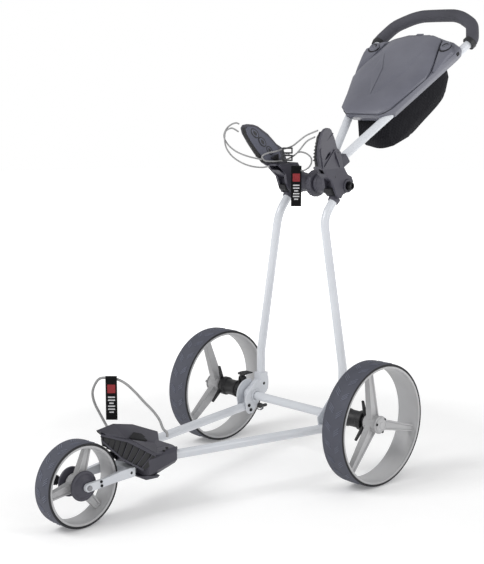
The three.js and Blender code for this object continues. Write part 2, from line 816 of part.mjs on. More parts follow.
function consoleBody() {
  const slab = (points, from, to) =>
    new THREE.ExtrudeGeometry(outline(points), {
      depth: to - from,
      bevelEnabled: false,
    }).translate(0, 0, from);
  const trayEdge = (along) => splay(along) - TUBE_RADIUS - GAP;
  const tray = (inset) => {
    const right = [
      [trayEdge(258) - inset, 256 + inset],
      [trayEdge(500) - inset, 500],
      [trayEdge(500) - 20 - inset, 518 - inset],
      [44 - inset, 536 - inset],
    ];
    return [...right, ...right.map(([x, y]) => [-x, y]).reverse()];
  };
  const cavity = slab(tray(CONSOLE_WALL), CONSOLE_BASE + CONSOLE_WALL, CONSOLE_TOP + 10);
  const underside = cut(
    slab(consoleOutline(CONSOLE_WALL), CONSOLE_BASE - 1, CONSOLE_TOP - CONSOLE_WALL),
    slab(tray(0), CONSOLE_BASE - 2, CONSOLE_TOP),
  );
  const corners = [1, -1].map((s) =>
    hull([
      [s * 129, 380, CONSOLE_TOP - 1],
      [s * 124, 430, CONSOLE_TOP - 1],
      [s * 91, 524, CONSOLE_TOP - 1],
      [s * 125, 521, CONSOLE_TOP - 1],
      [s * 154, 482, CONSOLE_TOP - 1],
      [s * 126, 436, CONSOLE_TOP + 9],
      [s * 96, 516, CONSOLE_TOP + 9],
      [s * 122, 513, CONSOLE_TOP + 9],
      [s * 144, 478, CONSOLE_TOP + 9],
    ]),
  );
  const channels = [1, -1].map((s) =>
    sweep(
      [200, 600].map((along) => vector([s * splay(along), along, 0])),
      TUBE_RADIUS + GAP,
      TUBE_SIDES,
    ),
  );
  const latchSeat = box(
    [-LATCH_HALF - 1, CONSOLE_HEAD - 13, CONSOLE_TOP - 12],
    [LATCH_HALF + 1, CONSOLE_HEAD + 3, CONSOLE_TOP + 20],
  );
  const shell = join(slab(consoleOutline(), CONSOLE_BASE, CONSOLE_TOP), ...corners);
  add(handle, "console_base", cut(shell, underside, cavity, latchSeat, ...channels), CONSOLE_PLASTIC);

  const lidBottom = CONSOLE_TOP + GAP;
  const rise = (inset, z) => LID_EDGE.map(([x, y]) => [x - inset, y + (y < 300 ? inset : -inset), z]);
  const skin = hull(
    mirroredPoints([...rise(0, lidBottom), ...rise(3, lidBottom + 6), ...rise(26, lidBottom + LID_RISE)]),
  );
  const hollow = hull(
    mirroredPoints([
      ...rise(CONSOLE_WALL, lidBottom - 1),
      ...rise(3 + CONSOLE_WALL, lidBottom + 6 - CONSOLE_WALL),
      ...rise(26, lidBottom + LID_RISE - CONSOLE_WALL),
    ]),
  );
  const lidNotch = box(
    [-LATCH_HALF - 1, CONSOLE_HEAD - 13, lidBottom - 5],
    [LATCH_HALF + 1, CONSOLE_HEAD + 3, lidBottom + 20],
  );
  add(handle, "console_lid", cut(skin, hollow, lidNotch), CONSOLE_PLASTIC);

  const latch = join(
    box([-LATCH_HALF, CONSOLE_HEAD - 8, CONSOLE_TOP - 9], [LATCH_HALF, CONSOLE_HEAD - 3, CONSOLE_TOP + 7]),
    box([-LATCH_HALF, CONSOLE_HEAD - 8, CONSOLE_TOP + 3], [LATCH_HALF, CONSOLE_HEAD + 1, CONSOLE_TOP + 7]),
  );
  add(handle, "lid_latch", latch, CONSOLE_PLASTIC);

  const capSeat = CONSOLE_TOP + 9 + GAP;
  for (const [side, s] of [
    ["left", 1],
    ["right", -1],
  ]) {
    const cap = new THREE.CylinderGeometry(CAP_RADIUS - 1.5, CAP_RADIUS, 5, 28)
      .rotateX(Math.PI / 2)
      .translate(s * 120, 495, capSeat + 2.5);
    add(handle, `console_cap_${side}`, cap, CONSOLE_PLASTIC);
  }
}

// Each ring of the pocket: depth below its rim, front and back along the handle, half widths.
function netPocket() {
  const top = CONSOLE_BASE - GAP;
  const levels = [
    [0, 264, 532, 50, 84],
    [0.36, 228, 526, 46, 80],
    [0.64, 232, 522, 44, 74],
    [0.88, 300, 502, 38, 62],
    [1, 368, 470, 24, 44],
  ];
  const ring = ([part, front, back, frontHalf, backHalf], inset, lift) => {
    const z = top - part * NET_DEPTH + lift;
    const corner = 22;
    return mirroredPoints([
      [frontHalf - inset, front + inset, z],
      [frontHalf + 8 - inset, front + corner, z],
      [backHalf - inset, back - corner, z],
      [backHalf - corner, back - inset, z],
    ]);
  };
  const bag = (inset, lift) => {
    const bands = [];
    for (let i = 0; i < levels.length - 1; i++)
      bands.push(hull([...ring(levels[i], inset, lift), ...ring(levels[i + 1], inset, lift)]));
    return join(...bands);
  };
  const mouth = hull([
    ...ring(levels[0], NET_WALL, NET_WALL),
    ...ring(levels[0], NET_WALL, NET_WALL + 8),
  ]);
  const tubes = [1, -1].map((s) =>
    sweep(
      [190, 620].map((along) => vector([s * splay(along), along, 0])),
      TUBE_RADIUS + GAP,
      TUBE_SIDES,
    ),
  );
  add(handle, "net_bag", cut(bag(0, 0), bag(NET_WALL, NET_WALL), mouth, ...tubes), NET_FABRIC);
}

// ---- Cords, their buckle and tags ----
const cordRoute = (points, steps) =>
  new THREE.CatmullRomCurve3(points.map(vector), false, "centripetal").getSpacedPoints(steps);

const CORDS = {
  upper_cord_bow_a: {
    diameter: UPPER_CORD,
    steps: 24,
    points: [
      [-137, -50, 853], [-142, -56, 856], [-153, -67, 850], [-162, -74, 837], [-163, -78, 821],
      [-155, -74, 804], [-138, -68, 789], [-117, -60, 779], [-100, -46, 772], [-90, -32, 768],
      [-84, -24, 766],
    ],
  },
  upper_cord_bow_b: {
    diameter: UPPER_CORD,
    steps: 26,
    points: [
      [-136, -53, 834], [-148, -66, 843], [-158, -76, 836], [-159, -80, 821], [-155, -79, 796],
      [-142, -71, 774], [-119, -60, 758], [-100, -43, 749], [-83, -22, 746], [-71, -9, 749],
    ],
  },
  upper_cord_span: {
    diameter: UPPER_CORD,
    steps: 44,
    points: [
      [127, -50, 847], [66, -22, 832], [2, 17, 812], [-40, 43, 799], [-59, 46, 793], [-68, 34, 789],
      [-73, 12, 784], [-79, -9, 781], [-84, -22, 773], [-81, -18, 764], [-75, 4, 760],
      [-65, 32, 761], [-52, 47, 768], [-38, 47, 775], [0, 24, 790], [66, -20, 818], [116, -48, 831],
    ],
  },
  upper_cord_tail: {
    diameter: UPPER_CORD,
    steps: 16,
    points: [
      [-34, 52, 781], [-30, 56, 783], [-23, 61, 783], [-10, 66, 778], [0, 69, 768], [2, 67, 757],
      [-1, 61, 746], [-8, 53, 739], [-15, 47, 738],
    ],
  },
  lower_cord: {
    diameter: LOWER_CORD,
    steps: 28,
    points: [
      [-60, -548, 182], [-70, -546, 188], [-82, -551, 209], [-95, -558, 237], [-99, -560, 260],
      [-92, -557, 282], [-82, -552, 295], [-69, -544, 298], [-45, -532, 297], [-25, -522, 288],
      [-6, -511, 270], [15, -500, 247], [33, -491, 229], [46, -484, 210], [54, -480, 190],
      [60, -474, 180], [58, -472, 171],
    ],
  },
};

function cords() {
  for (const [name, { diameter, steps, points }] of Object.entries(CORDS)) {
    const route = cordRoute(points, steps);
    add(cart, name, sweep(route, diameter / 2, 8), CORD_FABRIC);
  }
  const tag = (name, centre, top) => {
    const strip = new THREE.BoxGeometry(TAG.width, TAG.thickness, TAG.length)
      .rotateZ(radians(45))
      .translate(centre[0], centre[1], top - TAG.length / 2);
    add(cart, name, strip, TAG_FABRIC);
  };
  tag("tag_upper", [-26, 42], 750);
  tag("tag_lower", [-49, -545], 306);
  const buckle = new THREE.BoxGeometry(26, 9, 34)
    .rotateZ(radians(40))
    .translate(-47.6, 32.4, 778);
  add(cart, "cord_buckle", buckle, DARK_PLASTIC);
}

rearWheels();
frontWheel();
rearAxle();
lowerFrame();
uprights();
upperBracket();
lowerCradle();
handleFrame();
consoleBody();
netPocket();
cords();

const bounds = new THREE.Box3().setFromObject(cart, true);
cart.position.y = -(bounds.min.y + bounds.max.y) / 2;

export default cart;
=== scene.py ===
# %% [markdown]
# # A folding golf push cart
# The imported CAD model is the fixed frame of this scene. Every piece below is made around it, in
# metres, and rides on one of its bodies, so that the wheels turn and the handle folds.

# %% Load the frame
from math import cos, pi, radians, sin

import bmesh
import bpy
from mathutils import Matrix, Vector


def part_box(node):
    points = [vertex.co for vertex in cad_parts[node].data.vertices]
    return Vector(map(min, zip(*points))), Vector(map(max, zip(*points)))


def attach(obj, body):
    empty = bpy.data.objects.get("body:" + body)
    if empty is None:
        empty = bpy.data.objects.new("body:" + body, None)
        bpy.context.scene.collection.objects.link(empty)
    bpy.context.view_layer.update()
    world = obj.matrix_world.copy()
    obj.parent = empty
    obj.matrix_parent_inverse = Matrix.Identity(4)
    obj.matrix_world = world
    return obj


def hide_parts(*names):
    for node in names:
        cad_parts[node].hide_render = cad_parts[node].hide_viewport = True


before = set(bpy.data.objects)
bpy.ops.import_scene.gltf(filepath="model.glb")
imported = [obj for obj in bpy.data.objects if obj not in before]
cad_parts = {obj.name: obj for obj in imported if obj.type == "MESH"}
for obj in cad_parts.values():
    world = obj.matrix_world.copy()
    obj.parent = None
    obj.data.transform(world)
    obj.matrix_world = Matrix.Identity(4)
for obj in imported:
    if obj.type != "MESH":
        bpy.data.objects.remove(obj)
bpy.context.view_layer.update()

# %% [markdown]
# The cart is drawn in millimetres with the rear axle over y = 0. Three matrices carry a drawing to
# its place: CART for the frame, HANDLE for what is drawn along the handle, and one for each wheel.

# %% Places
MM = 0.001
axle_low, axle_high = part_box("stub_axle_left")
AXLE_Y = (axle_low.y + axle_high.y) / 2
HANDLE_ANGLE = 40.2
HINGE = (0, 97, 704)
TO_METRES = Matrix.Scale(MM, 4)
CART = Matrix.Translation((0, AXLE_Y, 0)) @ TO_METRES
HANDLE = CART @ Matrix.Translation(HINGE) @ Matrix.Rotation(radians(HANDLE_ANGLE), 4, "X")
MIRROR = Matrix.Scale(-1, 4, (1, 0, 0))
SIDES = {"left": Matrix.Identity(4), "right": MIRROR}
print("rear axle at y =", round(AXLE_Y, 4), "m")

# %% [markdown]
# A long lens from the front left shows the cart as a catalogue would.

# %% Camera
camera = bpy.data.objects.new("camera", bpy.data.cameras.new("camera"))
bpy.context.scene.collection.objects.link(camera)
camera.data.lens = 81.4
camera.data.sensor_width = 36
camera.location = CART @ Vector((2157, -2312, 1009))
camera.rotation_euler = (radians(90 - 9.83), 0, radians(45.28))
bpy.context.scene.camera = camera
print("camera at", [round(v, 3) for v in camera.location])

# %% [markdown]
# Most surfaces here are moulded plastic or powder coat. Real ones are never one flat colour: they
# have a fine grain that catches the light and broad soft patches. One node group makes both, and
# each finish sets its own colours and sizes.

# %% Shader groups
def new_group(name, inputs, outputs):
    group = bpy.data.node_groups.new(name, "ShaderNodeTree")
    for socket, kind, default in inputs:
        made = group.interface.new_socket(socket, in_out="INPUT", socket_type=kind)
        made.default_value = default
    for socket, kind in outputs:
        group.interface.new_socket(socket, in_out="OUTPUT", socket_type=kind)
    return group, group.nodes.new("NodeGroupInput"), group.nodes.new("NodeGroupOutput")


def moulded_group():
    group, start, end = new_group(
        "moulded_surface",
        [
            ("Colour", "NodeSocketColor", (0.5, 0.5, 0.5, 1)),
            ("Patch Colour", "NodeSocketColor", (0.4, 0.4, 0.4, 1)),
            ("Roughness", "NodeSocketFloat", 0.5),
            ("Grain Scale", "NodeSocketFloat", 900),
            ("Grain Depth", "NodeSocketFloat", 0.1),
        ],
        [
            ("Colour", "NodeSocketColor"),
            ("Roughness", "NodeSocketFloat"),
            ("Normal", "NodeSocketVector"),
        ],
    )
    add, link = group.nodes.new, group.links.new
    place = add("ShaderNodeTexCoord").outputs["Object"]
    patches = add("ShaderNodeTexNoise")
    patches.inputs["Scale"].default_value = 9
    patches.inputs["Detail"].default_value = 4
    grain = add("ShaderNodeTexNoise")
    grain.inputs["Detail"].default_value = 2
    link(place, patches.inputs["Vector"])
    link(place, grain.inputs["Vector"])
    link(start.outputs["Grain Scale"], grain.inputs["Scale"])
    soften = add("ShaderNodeMapRange")
    soften.inputs["From Min"].default_value = 0.35
    soften.inputs["From Max"].default_value = 0.7
    link(patches.outputs["Fac"], soften.inputs["Value"])
    mix = add("ShaderNodeMix")
    mix.data_type = "RGBA"
    link(soften.outputs["Result"], mix.inputs["Factor"])
    link(start.outputs["Colour"], mix.inputs["A"])
    link(start.outputs["Patch Colour"], mix.inputs["B"])
    sheen = add("ShaderNodeMath")
    sheen.operation = "MULTIPLY_ADD"
    sheen.inputs[1].default_value = 0.16
    link(grain.outputs["Fac"], sheen.inputs[0])
    link(start.outputs["Roughness"], sheen.inputs[2])
    bump = add("ShaderNodeBump")
    bump.inputs["Distance"].default_value = 0.0004
    link(start.outputs["Grain Depth"], bump.inputs["Strength"])
    link(grain.outputs["Fac"], bump.inputs["Height"])
    link(mix.outputs["Result"], end.inputs["Colour"])
    link(sheen.outputs["Value"], end.inputs["Roughness"])
    link(bump.outputs["Normal"], end.inputs["Normal"])
    return group


MOULDED = moulded_group()


def weave_group():
    group, start, end = new_group(
        "woven_cloth",
        [
            ("Colour", "NodeSocketColor", (0.5, 0.5, 0.5, 1)),
            ("Shade Colour", "NodeSocketColor", (0.2, 0.2, 0.2, 1)),
            ("Threads", "NodeSocketFloat", 900),
            ("Depth", "NodeSocketFloat", 0.5),
        ],
        [("Colour", "NodeSocketColor"), ("Mask", "NodeSocketFloat"), ("Normal", "NodeSocketVector")],
    )
    add, link = group.nodes.new, group.links.new
    place = add("ShaderNodeTexCoord").outputs["Object"]
    masks = []
    for direction in ((0.7, 0.7, 0.15), (0.25, -0.3, 1)):
        along = add("ShaderNodeVectorMath")
        along.operation = "DOT_PRODUCT"
        along.inputs[1].default_value = direction
        link(place, along.inputs[0])
        turns = add("ShaderNodeMath")
        turns.operation = "MULTIPLY"
        link(along.outputs["Value"], turns.inputs[0])
        link(start.outputs["Threads"], turns.inputs[1])
        wave = add("ShaderNodeMath")
        wave.operation = "SINE"
        link(turns.outputs["Value"], wave.inputs[0])
        masks.append(wave.outputs["Value"])
    higher = add("ShaderNodeMath")
    higher.operation = "MAXIMUM"
    link(masks[0], higher.inputs[0])
    link(masks[1], higher.inputs[1])
    mask = add("ShaderNodeMapRange")
    mask.inputs["From Min"].default_value = -0.6
    link(higher.outputs["Value"], mask.inputs["Value"])
    mix = add("ShaderNodeMix")
    mix.data_type = "RGBA"
    link(mask.outputs["Result"], mix.inputs["Factor"])
    link(start.outputs["Shade Colour"], mix.inputs["A"])
    link(start.outputs["Colour"], mix.inputs["B"])
    bump = add("ShaderNodeBump")
    bump.inputs["Distance"].default_value = 0.0006
    link(start.outputs["Depth"], bump.inputs["Strength"])
    link(mask.outputs["Result"], bump.inputs["Height"])
    link(mix.outputs["Result"], end.inputs["Colour"])
    link(mask.outputs["Result"], end.inputs["Mask"])
    link(bump.outputs["Normal"], end.inputs["Normal"])
    return group


WOVEN = weave_group()
print("shader groups:", MOULDED.name, WOVEN.name)

# %% [markdown]
# Each finish is a Principled BSDF fed by one of the groups. Colours are written as a paint chart
# gives them and turned into the linear values that light is worked out in.

# %% Finishes
def chart(red, green, blue):
    return tuple(
        v / 12.92 if v <= 0.04045 else ((v + 0.055) / 1.055) ** 2.4
        for v in (red / 255, green / 255, blue / 255)
    ) + (1,)


def base_material(name, group, values, links, metallic=0.0, coat=0.0):
    material = bpy.data.materials.new(name)
    material.use_nodes = True
    nodes, tree_link = material.node_tree.nodes, material.node_tree.links.new
    shader = nodes["Principled BSDF"]
    shader.inputs["Metallic"].default_value = metallic
    shader.inputs["Coat Weight"].default_value = coat
    surface = nodes.new("ShaderNodeGroup")
    surface.node_tree = group
    for socket, value in values.items():
        surface.inputs[socket].default_value = value
    for out, into in links.items():
        tree_link(surface.outputs[out], shader.inputs[into])
    return material, shader, surface


def moulded(name, colour, patch, roughness, grain_scale=900, grain_depth=0.1, **shine):
    links = {"Colour": "Base Color", "Roughness": "Roughness", "Normal": "Normal"}
    values = {
        "Colour": chart(*colour), "Patch Colour": chart(*patch), "Roughness": roughness,
        "Grain Scale": grain_scale, "Grain Depth": grain_depth,
    }
    return base_material(name, MOULDED, values, links, **shine)[0]


def woven(name, colour, shade, threads, depth, roughness=0.85):
    links = {"Colour": "Base Color", "Normal": "Normal"}
    values = {"Colour": chart(*colour), "Shade Colour": chart(*shade), "Threads": threads, "Depth": depth}
    material, shader, surface = base_material(name, WOVEN, values, links)
    shader.inputs["Roughness"].default_value = roughness
    shader.inputs["Specular IOR Level"].default_value = 0.15
    return material


PAINT = moulded("silver_white_paint", (206, 209, 214), (199, 202, 208), 0.24, 1500, 0.05, coat=0.25)
DARK = moulded("slate_plastic", (64, 63, 73), (56, 55, 65), 0.4, 1300, 0.16)
CONSOLE = moulded("console_plastic", (101, 102, 113), (90, 91, 102), 0.32, 1600, 0.08, coat=0.12)
BLACK = moulded("black_plastic", (27, 27, 30), (20, 20, 22), 0.4, 1200, 0.12)
RIM = moulded("rim_plastic", (180, 180, 181), (170, 170, 172), 0.36, 1300, 0.1)
TYRE = moulded("tyre_rubber", (74, 76, 87), (64, 66, 76), 0.62, 700, 0.25)
TREAD = moulded("tread_rubber", (104, 107, 121), (92, 95, 108), 0.6, 700, 0.2)
EDGE = moulded("tyre_edge_rubber", (30, 30, 34), (24, 24, 27), 0.6, 700, 0.2)
FOAM = moulded("grip_foam", (70, 70, 78), (60, 60, 67), 0.72, 2600, 0.8)
STEEL = moulded("axle_steel", (150, 150, 154), (130, 130, 134), 0.25, 1500, 0.05, metallic=1.0)
BOLT = moulded("blackened_bolt", (26, 26, 29), (20, 20, 22), 0.3, 1200, 0.1, metallic=0.6)
# Painted shade: one near-black finish for the thin dark slabs that stand for the shade in gaps, holes,
# notches and recesses.
PAINTED_SHADE = moulded("seam_shadow", (26, 26, 30), (22, 22, 25), 0.7, 900, 0.05)
CORD = woven("cord_braid", (172, 172, 172), (118, 118, 120), 5200, 0.6)
WEBBING = woven("tag_webbing", (19, 19, 21), (8, 8, 9), 4200, 0.6)
RED_THREAD = woven("tag_red_thread", (160, 62, 66), (110, 40, 44), 5200, 0.5)
WHITE_THREAD = woven("tag_white_thread", (226, 226, 228), (170, 170, 172), 5200, 0.5)
ELASTIC = woven("black_elastic", (28, 28, 31), (14, 14, 15), 5200, 0.5)
NET = woven("net_mesh", (30, 30, 35), (2, 2, 3), 1500, 1.0)
print(len(bpy.data.materials), "materials")

# %% [markdown]
# Every solid goes through the same last steps: its drawing is placed, doubles are merged, normals
# are turned outwards and the edges get the small rounds that real mouldings have.

# %% Finishing a piece
def settle(name, mesh_data, body, finish, stands_for=(), extra=()):
    mesh = bpy.data.meshes.new(name)
    mesh_data.to_mesh(mesh)
    mesh_data.free()
    thing = bpy.data.objects.new(name, mesh)
    bpy.context.scene.collection.objects.link(thing)
    for material in (finish, *extra):
        mesh.materials.append(material)
    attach(thing, body)
    if stands_for:
        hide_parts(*stands_for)
    return thing


def finish_piece(
    name, drawing, place, body, finish, slot_name, stands_for=(), bevel=0.8, smooth=35, extra=(), segments=2
):
    bmesh.ops.transform(drawing, matrix=place, verts=drawing.verts)
    bmesh.ops.remove_doubles(drawing, verts=drawing.verts, dist=1e-6)
    bmesh.ops.recalc_face_normals(drawing, faces=drawing.faces)
    for face in drawing.faces:
        face.smooth = True
    thing = settle(name, drawing, body, finish, stands_for, extra)
    thing.data.set_sharp_from_angle(angle=radians(smooth))
    if bevel:
        rounding = thing.modifiers.new("rounding", "BEVEL")
        rounding.width = bevel * MM
        rounding.segments = segments
        rounding.limit_method = "ANGLE"
        rounding.angle_limit = radians(smooth)
        rounding.harden_normals = True
    return thing


def on_both_sides(name, draw, place, body, finish, slot_name, nodes=(), **more):
    for side, flip in SIDES.items():
        finish_piece(
            f"{name}_{side}", draw(), place @ flip, body.format(side=side), finish, slot_name,
            [f"{node}_{side}" for node in nodes], **more,
        )


def hull(drawing, points):
    corners = [drawing.verts.new(p) for p in points]
    made = bmesh.ops.convex_hull(drawing, input=corners)
    inside = {v for v in made["geom_interior"] + made["geom_unused"] if isinstance(v, bmesh.types.BMVert)}
    bmesh.ops.delete(drawing, geom=[v for v in inside if v.is_valid and not v.link_faces], context="VERTS")
    faces = [f for f in made["geom"] if isinstance(f, bmesh.types.BMFace) and f.is_valid]
    bmesh.ops.dissolve_limit(
        drawing, angle_limit=radians(1), verts=list({v for f in faces for v in f.verts}),
        edges=list({e for f in faces for e in f.edges}),
    )
    return corners


def block(drawing, across, outline):
    """The hull of an outline in y and z, drawn at each x in across."""
    return hull(drawing, [(x, y, z) for x in across for y, z in outline])


def mirrored_block(drawing, points):
    """The hull of some points and their mirror images across the middle plane."""
    return hull(drawing, [(s * x, y, z) for s in (1, -1) for x, y, z in points])


def plate(drawing, outline, start, end):
    """A flat outline in y and z, pushed along x."""
    face = drawing.faces.new([drawing.verts.new((start, y, z)) for y, z in outline])
    pushed = bmesh.ops.extrude_face_region(drawing, geom=[face], use_keep_orig=True)
    moved = [v for v in pushed["geom"] if isinstance(v, bmesh.types.BMVert)]
    bmesh.ops.translate(drawing, verts=moved, vec=(end - start, 0, 0))


def slab(drawing, outline, start, end):
    """A flat outline in x and y, pushed along z."""
    face = drawing.faces.new([drawing.verts.new((x, y, start)) for x, y in outline])
    pushed = bmesh.ops.extrude_face_region(drawing, geom=[face], use_keep_orig=True)
    moved = [v for v in pushed["geom"] if isinstance(v, bmesh.types.BMVert)]
    bmesh.ops.translate(drawing, verts=moved, vec=(0, 0, end - start))


def turned(drawing, profile, steps=64, centre=(0, 0, 0), closed=False):
    """A profile of [radius, x] spun about an axis along x."""
    cx, cy, cz = centre
    points = [drawing.verts.new((cx + x, cy + r, cz)) for r, x in profile]
    pairs = list(zip(points, points[1:])) + ([(points[-1], points[0])] if closed else [])
    edges = [drawing.edges.new(pair) for pair in pairs]
    bmesh.ops.spin(
        drawing, geom=points + edges, cent=centre, axis=(1, 0, 0), angle=2 * pi, steps=steps, use_merge=True
    )
    bmesh.ops.remove_doubles(drawing, verts=drawing.verts, dist=1e-4)


def rod(drawing, start, end, radius, centre=(0, 0, 0), chamfer=0.8, steps=40):
    turned(
        drawing,
        [(0, start), (radius - chamfer, start), (radius, start + chamfer),
         (radius, end - chamfer), (radius - chamfer, end), (0, end)],
        steps, centre,
    )


def arc(centre, radius, start, end, steps):
    for i in range(steps + 1):
        angle = radians(start + (end - start) * i / steps)
        yield centre[0] + radius * cos(angle), centre[1] + radius * sin(angle)


print("drawing tools ready")

# %% [markdown]
# Tubes, the grip and the cords follow a line through space. Straight runs meet in arcs, as a tube
# bender leaves them, and a bevelled curve puts a round section on the line.

# %% Lines through space
def bent(corners, radii, steps=10):
    points = [Vector(c) for c in corners]
    line = [points[0]]
    for before, corner, after, radius in zip(points, points[1:], points[2:], radii):
        inward, outward = (before - corner).normalized(), (after - corner).normalized()
        turn = pi - inward.angle(outward)
        trim = radius * sin(turn / 2) / cos(turn / 2)
        start, end = corner + inward * trim, corner + outward * trim
        middle = corner + (inward + outward).normalized() * (radius / cos(turn / 2))
        for k in range(steps + 1):
            part = k / steps
            line.append(
                middle
                + (start - middle) * (sin((1 - part) * turn) / sin(turn))
                + (end - middle) * (sin(part * turn) / sin(turn))
            )
    return line + [points[-1]]


def flowing(corners, steps=12):
    """A smooth line through all its corners."""
    points = [Vector(c) for c in corners]
    points = [2 * points[0] - points[1], *points, 2 * points[-1] - points[-2]]
    line = []
    for a, b, c, d in zip(points, points[1:], points[2:], points[3:]):
        knots = [0]
        for p, q in ((a, b), (b, c), (c, d)):
            knots.append(knots[-1] + max((q - p).length, 1e-6) ** 0.5)
        t0, t1, t2, t3 = knots
        for k in range(steps):
            t = t1 + (t2 - t1) * k / steps
            ab = a.lerp(b, (t - t0) / (t1 - t0))
            bc = b.lerp(c, (t - t1) / (t2 - t1))
            cd = c.lerp(d, (t - t2) / (t3 - t2))
            abc, bcd = ab.lerp(bc, (t - t0) / (t2 - t0)), bc.lerp(cd, (t - t1) / (t3 - t1))
            line.append(abc.lerp(bcd, (t - t1) / (t2 - t1)))
    return line + [points[-2]]


def line_piece(name, line, place, radius, body, finish, stands_for=(), sides=8, as_mesh=True):
    curve = bpy.data.curves.new(name, "CURVE")
    curve.dimensions = "3D"
    curve.bevel_depth = radius * MM
    curve.bevel_resolution = sides
    curve.use_fill_caps = True
    spline = curve.splines.new("POLY")
    spline.points.add(len(line) - 1)
    for knot, point in zip(spline.points, line):
        knot.co = (*(place @ Vector(point)), 1)
    spline.use_smooth = True
    thing = bpy.data.objects.new(name, curve)
    bpy.context.scene.collection.objects.link(thing)
    if as_mesh:
        mesh = bpy.data.meshes.new_from_object(thing)
        bpy.data.objects.remove(thing)
        mesh.name = name
        thing = bpy.data.objects.new(name, mesh)
        bpy.context.scene.collection.objects.link(thing)
        mesh.set_sharp_from_angle(angle=radians(50))
    thing.data.materials.clear()
    thing.data.materials.append(finish)
    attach(thing, body)
    if stands_for:
        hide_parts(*stands_for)
    return thing


def length_of(line):
    return sum((b - a).length for a, b in zip(line, line[1:])) * MM


# %% [markdown]
# Thin elastic cords hold the bag. Each is one smooth line with a round section, which is all that a
# cord is. The upper cord's bows and crossing, and the thick lower loop, stand out in the air because
# their elastic core keeps them round. They could be simulated, but a listed route is easier to set.

# %% Cords
CORDS = {
    "upper_cord_bow_a": (4, "mast", [
        (-137, -50, 853), (-142, -56, 856), (-153, -67, 850), (-162, -74, 837), (-163, -78, 821),
        (-155, -74, 804), (-138, -68, 789), (-117, -60, 779), (-100, -46, 772), (-90, -32, 768),
        (-84, -24, 766),
    ]),
    "upper_cord_bow_b": (4, "mast", [
        (-136, -53, 834), (-148, -66, 843), (-158, -76, 836), (-159, -80, 821), (-155, -79, 796),
        (-142, -71, 774), (-119, -60, 758), (-100, -43, 749), (-83, -22, 746), (-71, -9, 749),
    ]),
    "upper_cord_span": (4, "mast", [
        (127, -50, 847), (66, -22, 832), (2, 17, 812), (-40, 43, 799), (-59, 46, 793), (-68, 34, 789),
        (-73, 12, 784), (-79, -9, 781), (-84, -22, 773), (-81, -18, 764), (-75, 4, 760),
        (-65, 32, 761), (-52, 47, 768), (-38, 47, 775), (0, 24, 790), (66, -20, 818), (116, -48, 831),
    ]),
    "upper_cord_tail": (4, "mast", [
        (-34, 52, 781), (-30, 56, 783), (-23, 61, 783), (-10, 66, 778), (0, 69, 768), (2, 67, 757),
        (-1, 61, 746), (-8, 53, 739), (-15, 47, 738),
    ]),
    "lower_cord": (6, "chassis", [
        (-60, -548, 182), (-70, -546, 188), (-82, -551, 209), (-95, -558, 237), (-99, -560, 260),
        (-92, -557, 282), (-82, -552, 295), (-69, -544, 298), (-45, -532, 297), (-25, -522, 288),
        (-6, -511, 270), (15, -500, 247), (33, -491, 229), (46, -484, 210), (54, -480, 190),
        (60, -474, 180), (58, -472, 171),
    ]),
}
for cord_name, (cord_width, cord_body, cord_points) in CORDS.items():
    cord_line = flowing(cord_points)
    cord_piece = line_piece(
        cord_name + "_look", cord_line, CART, cord_width / 2, cord_body, CORD,
        [cord_name], sides=4, as_mesh=False,
    )
    print(cord_name, round(length_of(cord_line), 3), "m")

# %% [markdown]
# ## Wheels
# A tyre is a rubber band spun round the axle, thicker at its shoulders. The tread is not cut in:
# fine chevron ribs stand on the band in groups, so one group is made of small bars and turned
# round the wheel.

# %% Tyres
REAR_RADIUS, REAR_WIDTH, REAR_TRACK = 150, 64.5, 539.5
FRONT_RADIUS, FRONT_WIDTH, WHEELBASE = 96.5, 51.6, 684.4
TYRE_THICKNESS = 6.3
REAR_HUB = (-17, 20.25)


def wheel_place(side):
    flip = SIDES.get(side, Matrix.Identity(4))
    centre = (0, -WHEELBASE, FRONT_RADIUS) if side == "front" else (REAR_TRACK / 2, 0, REAR_RADIUS)
    return CART @ flip @ Matrix.Translation(centre)


def draw_tyre(radius, width, groups, arms):
    drawing = bmesh.new()
    inside, edge = radius - TYRE_THICKNESS, width / 2
    half = [(inside, edge - 1.2), (inside + 1.4, edge), (radius - 3.2, edge), (radius - 1.2, edge - 1.6),
            (radius - 0.7, edge - 5), (radius - 0.6, 0)]
    other = [(r, -x) for r, x in half[:-1]]
    turned(drawing, other + half[::-1], 96, closed=True)
    for face in drawing.faces:
        if abs(face.calc_center_median().x) > edge - 1.9:
            face.material_index = 1
    start = len(drawing.faces)
    for g in range(groups):
        for k in range(arms):
            for s in (-1, 1):
                bar = bmesh.ops.create_cube(drawing, size=1)["verts"]
                bmesh.ops.scale(drawing, verts=bar, vec=(width * 0.3, 1.5, 1.2))
                bmesh.ops.rotate(drawing, verts=bar, matrix=Matrix.Rotation(radians(38 * s), 3, "Z"))
                lean = (k - (arms - 1) / 2) * 5.2
                bmesh.ops.translate(drawing, verts=bar, vec=(s * width * 0.2, lean, radius - 0.55))
                angle = 2 * pi * (g + 0.25 * (s > 0)) / groups
                bmesh.ops.rotate(drawing, verts=bar, matrix=Matrix.Rotation(angle, 3, "X"))
    drawing.faces.ensure_lookup_table()
    for face in drawing.faces[start:]:
        face.material_index = 2
    return drawing


for side in ("left", "right", "front"):
    size = (FRONT_RADIUS, FRONT_WIDTH, 16, 3) if side == "front" else (REAR_RADIUS, REAR_WIDTH, 22, 3)
    finish_piece(
        f"tyre_look_{side}", draw_tyre(*size), wheel_place(side), f"wheel_{side}", TYRE, "tyre_rubber",
        [f"tyre_{side}"], bevel=0, extra=(EDGE, TREAD), smooth=32,
    )
print("tyres", REAR_RADIUS * 2, "and", FRONT_RADIUS * 2, "mm across")

# %% [markdown]
# A rim is a barrel with rolled lips and three spokes. A spoke is a tapered bar whose outer face is
# inset and pressed in, which leaves the raised borders of a moulded channel.

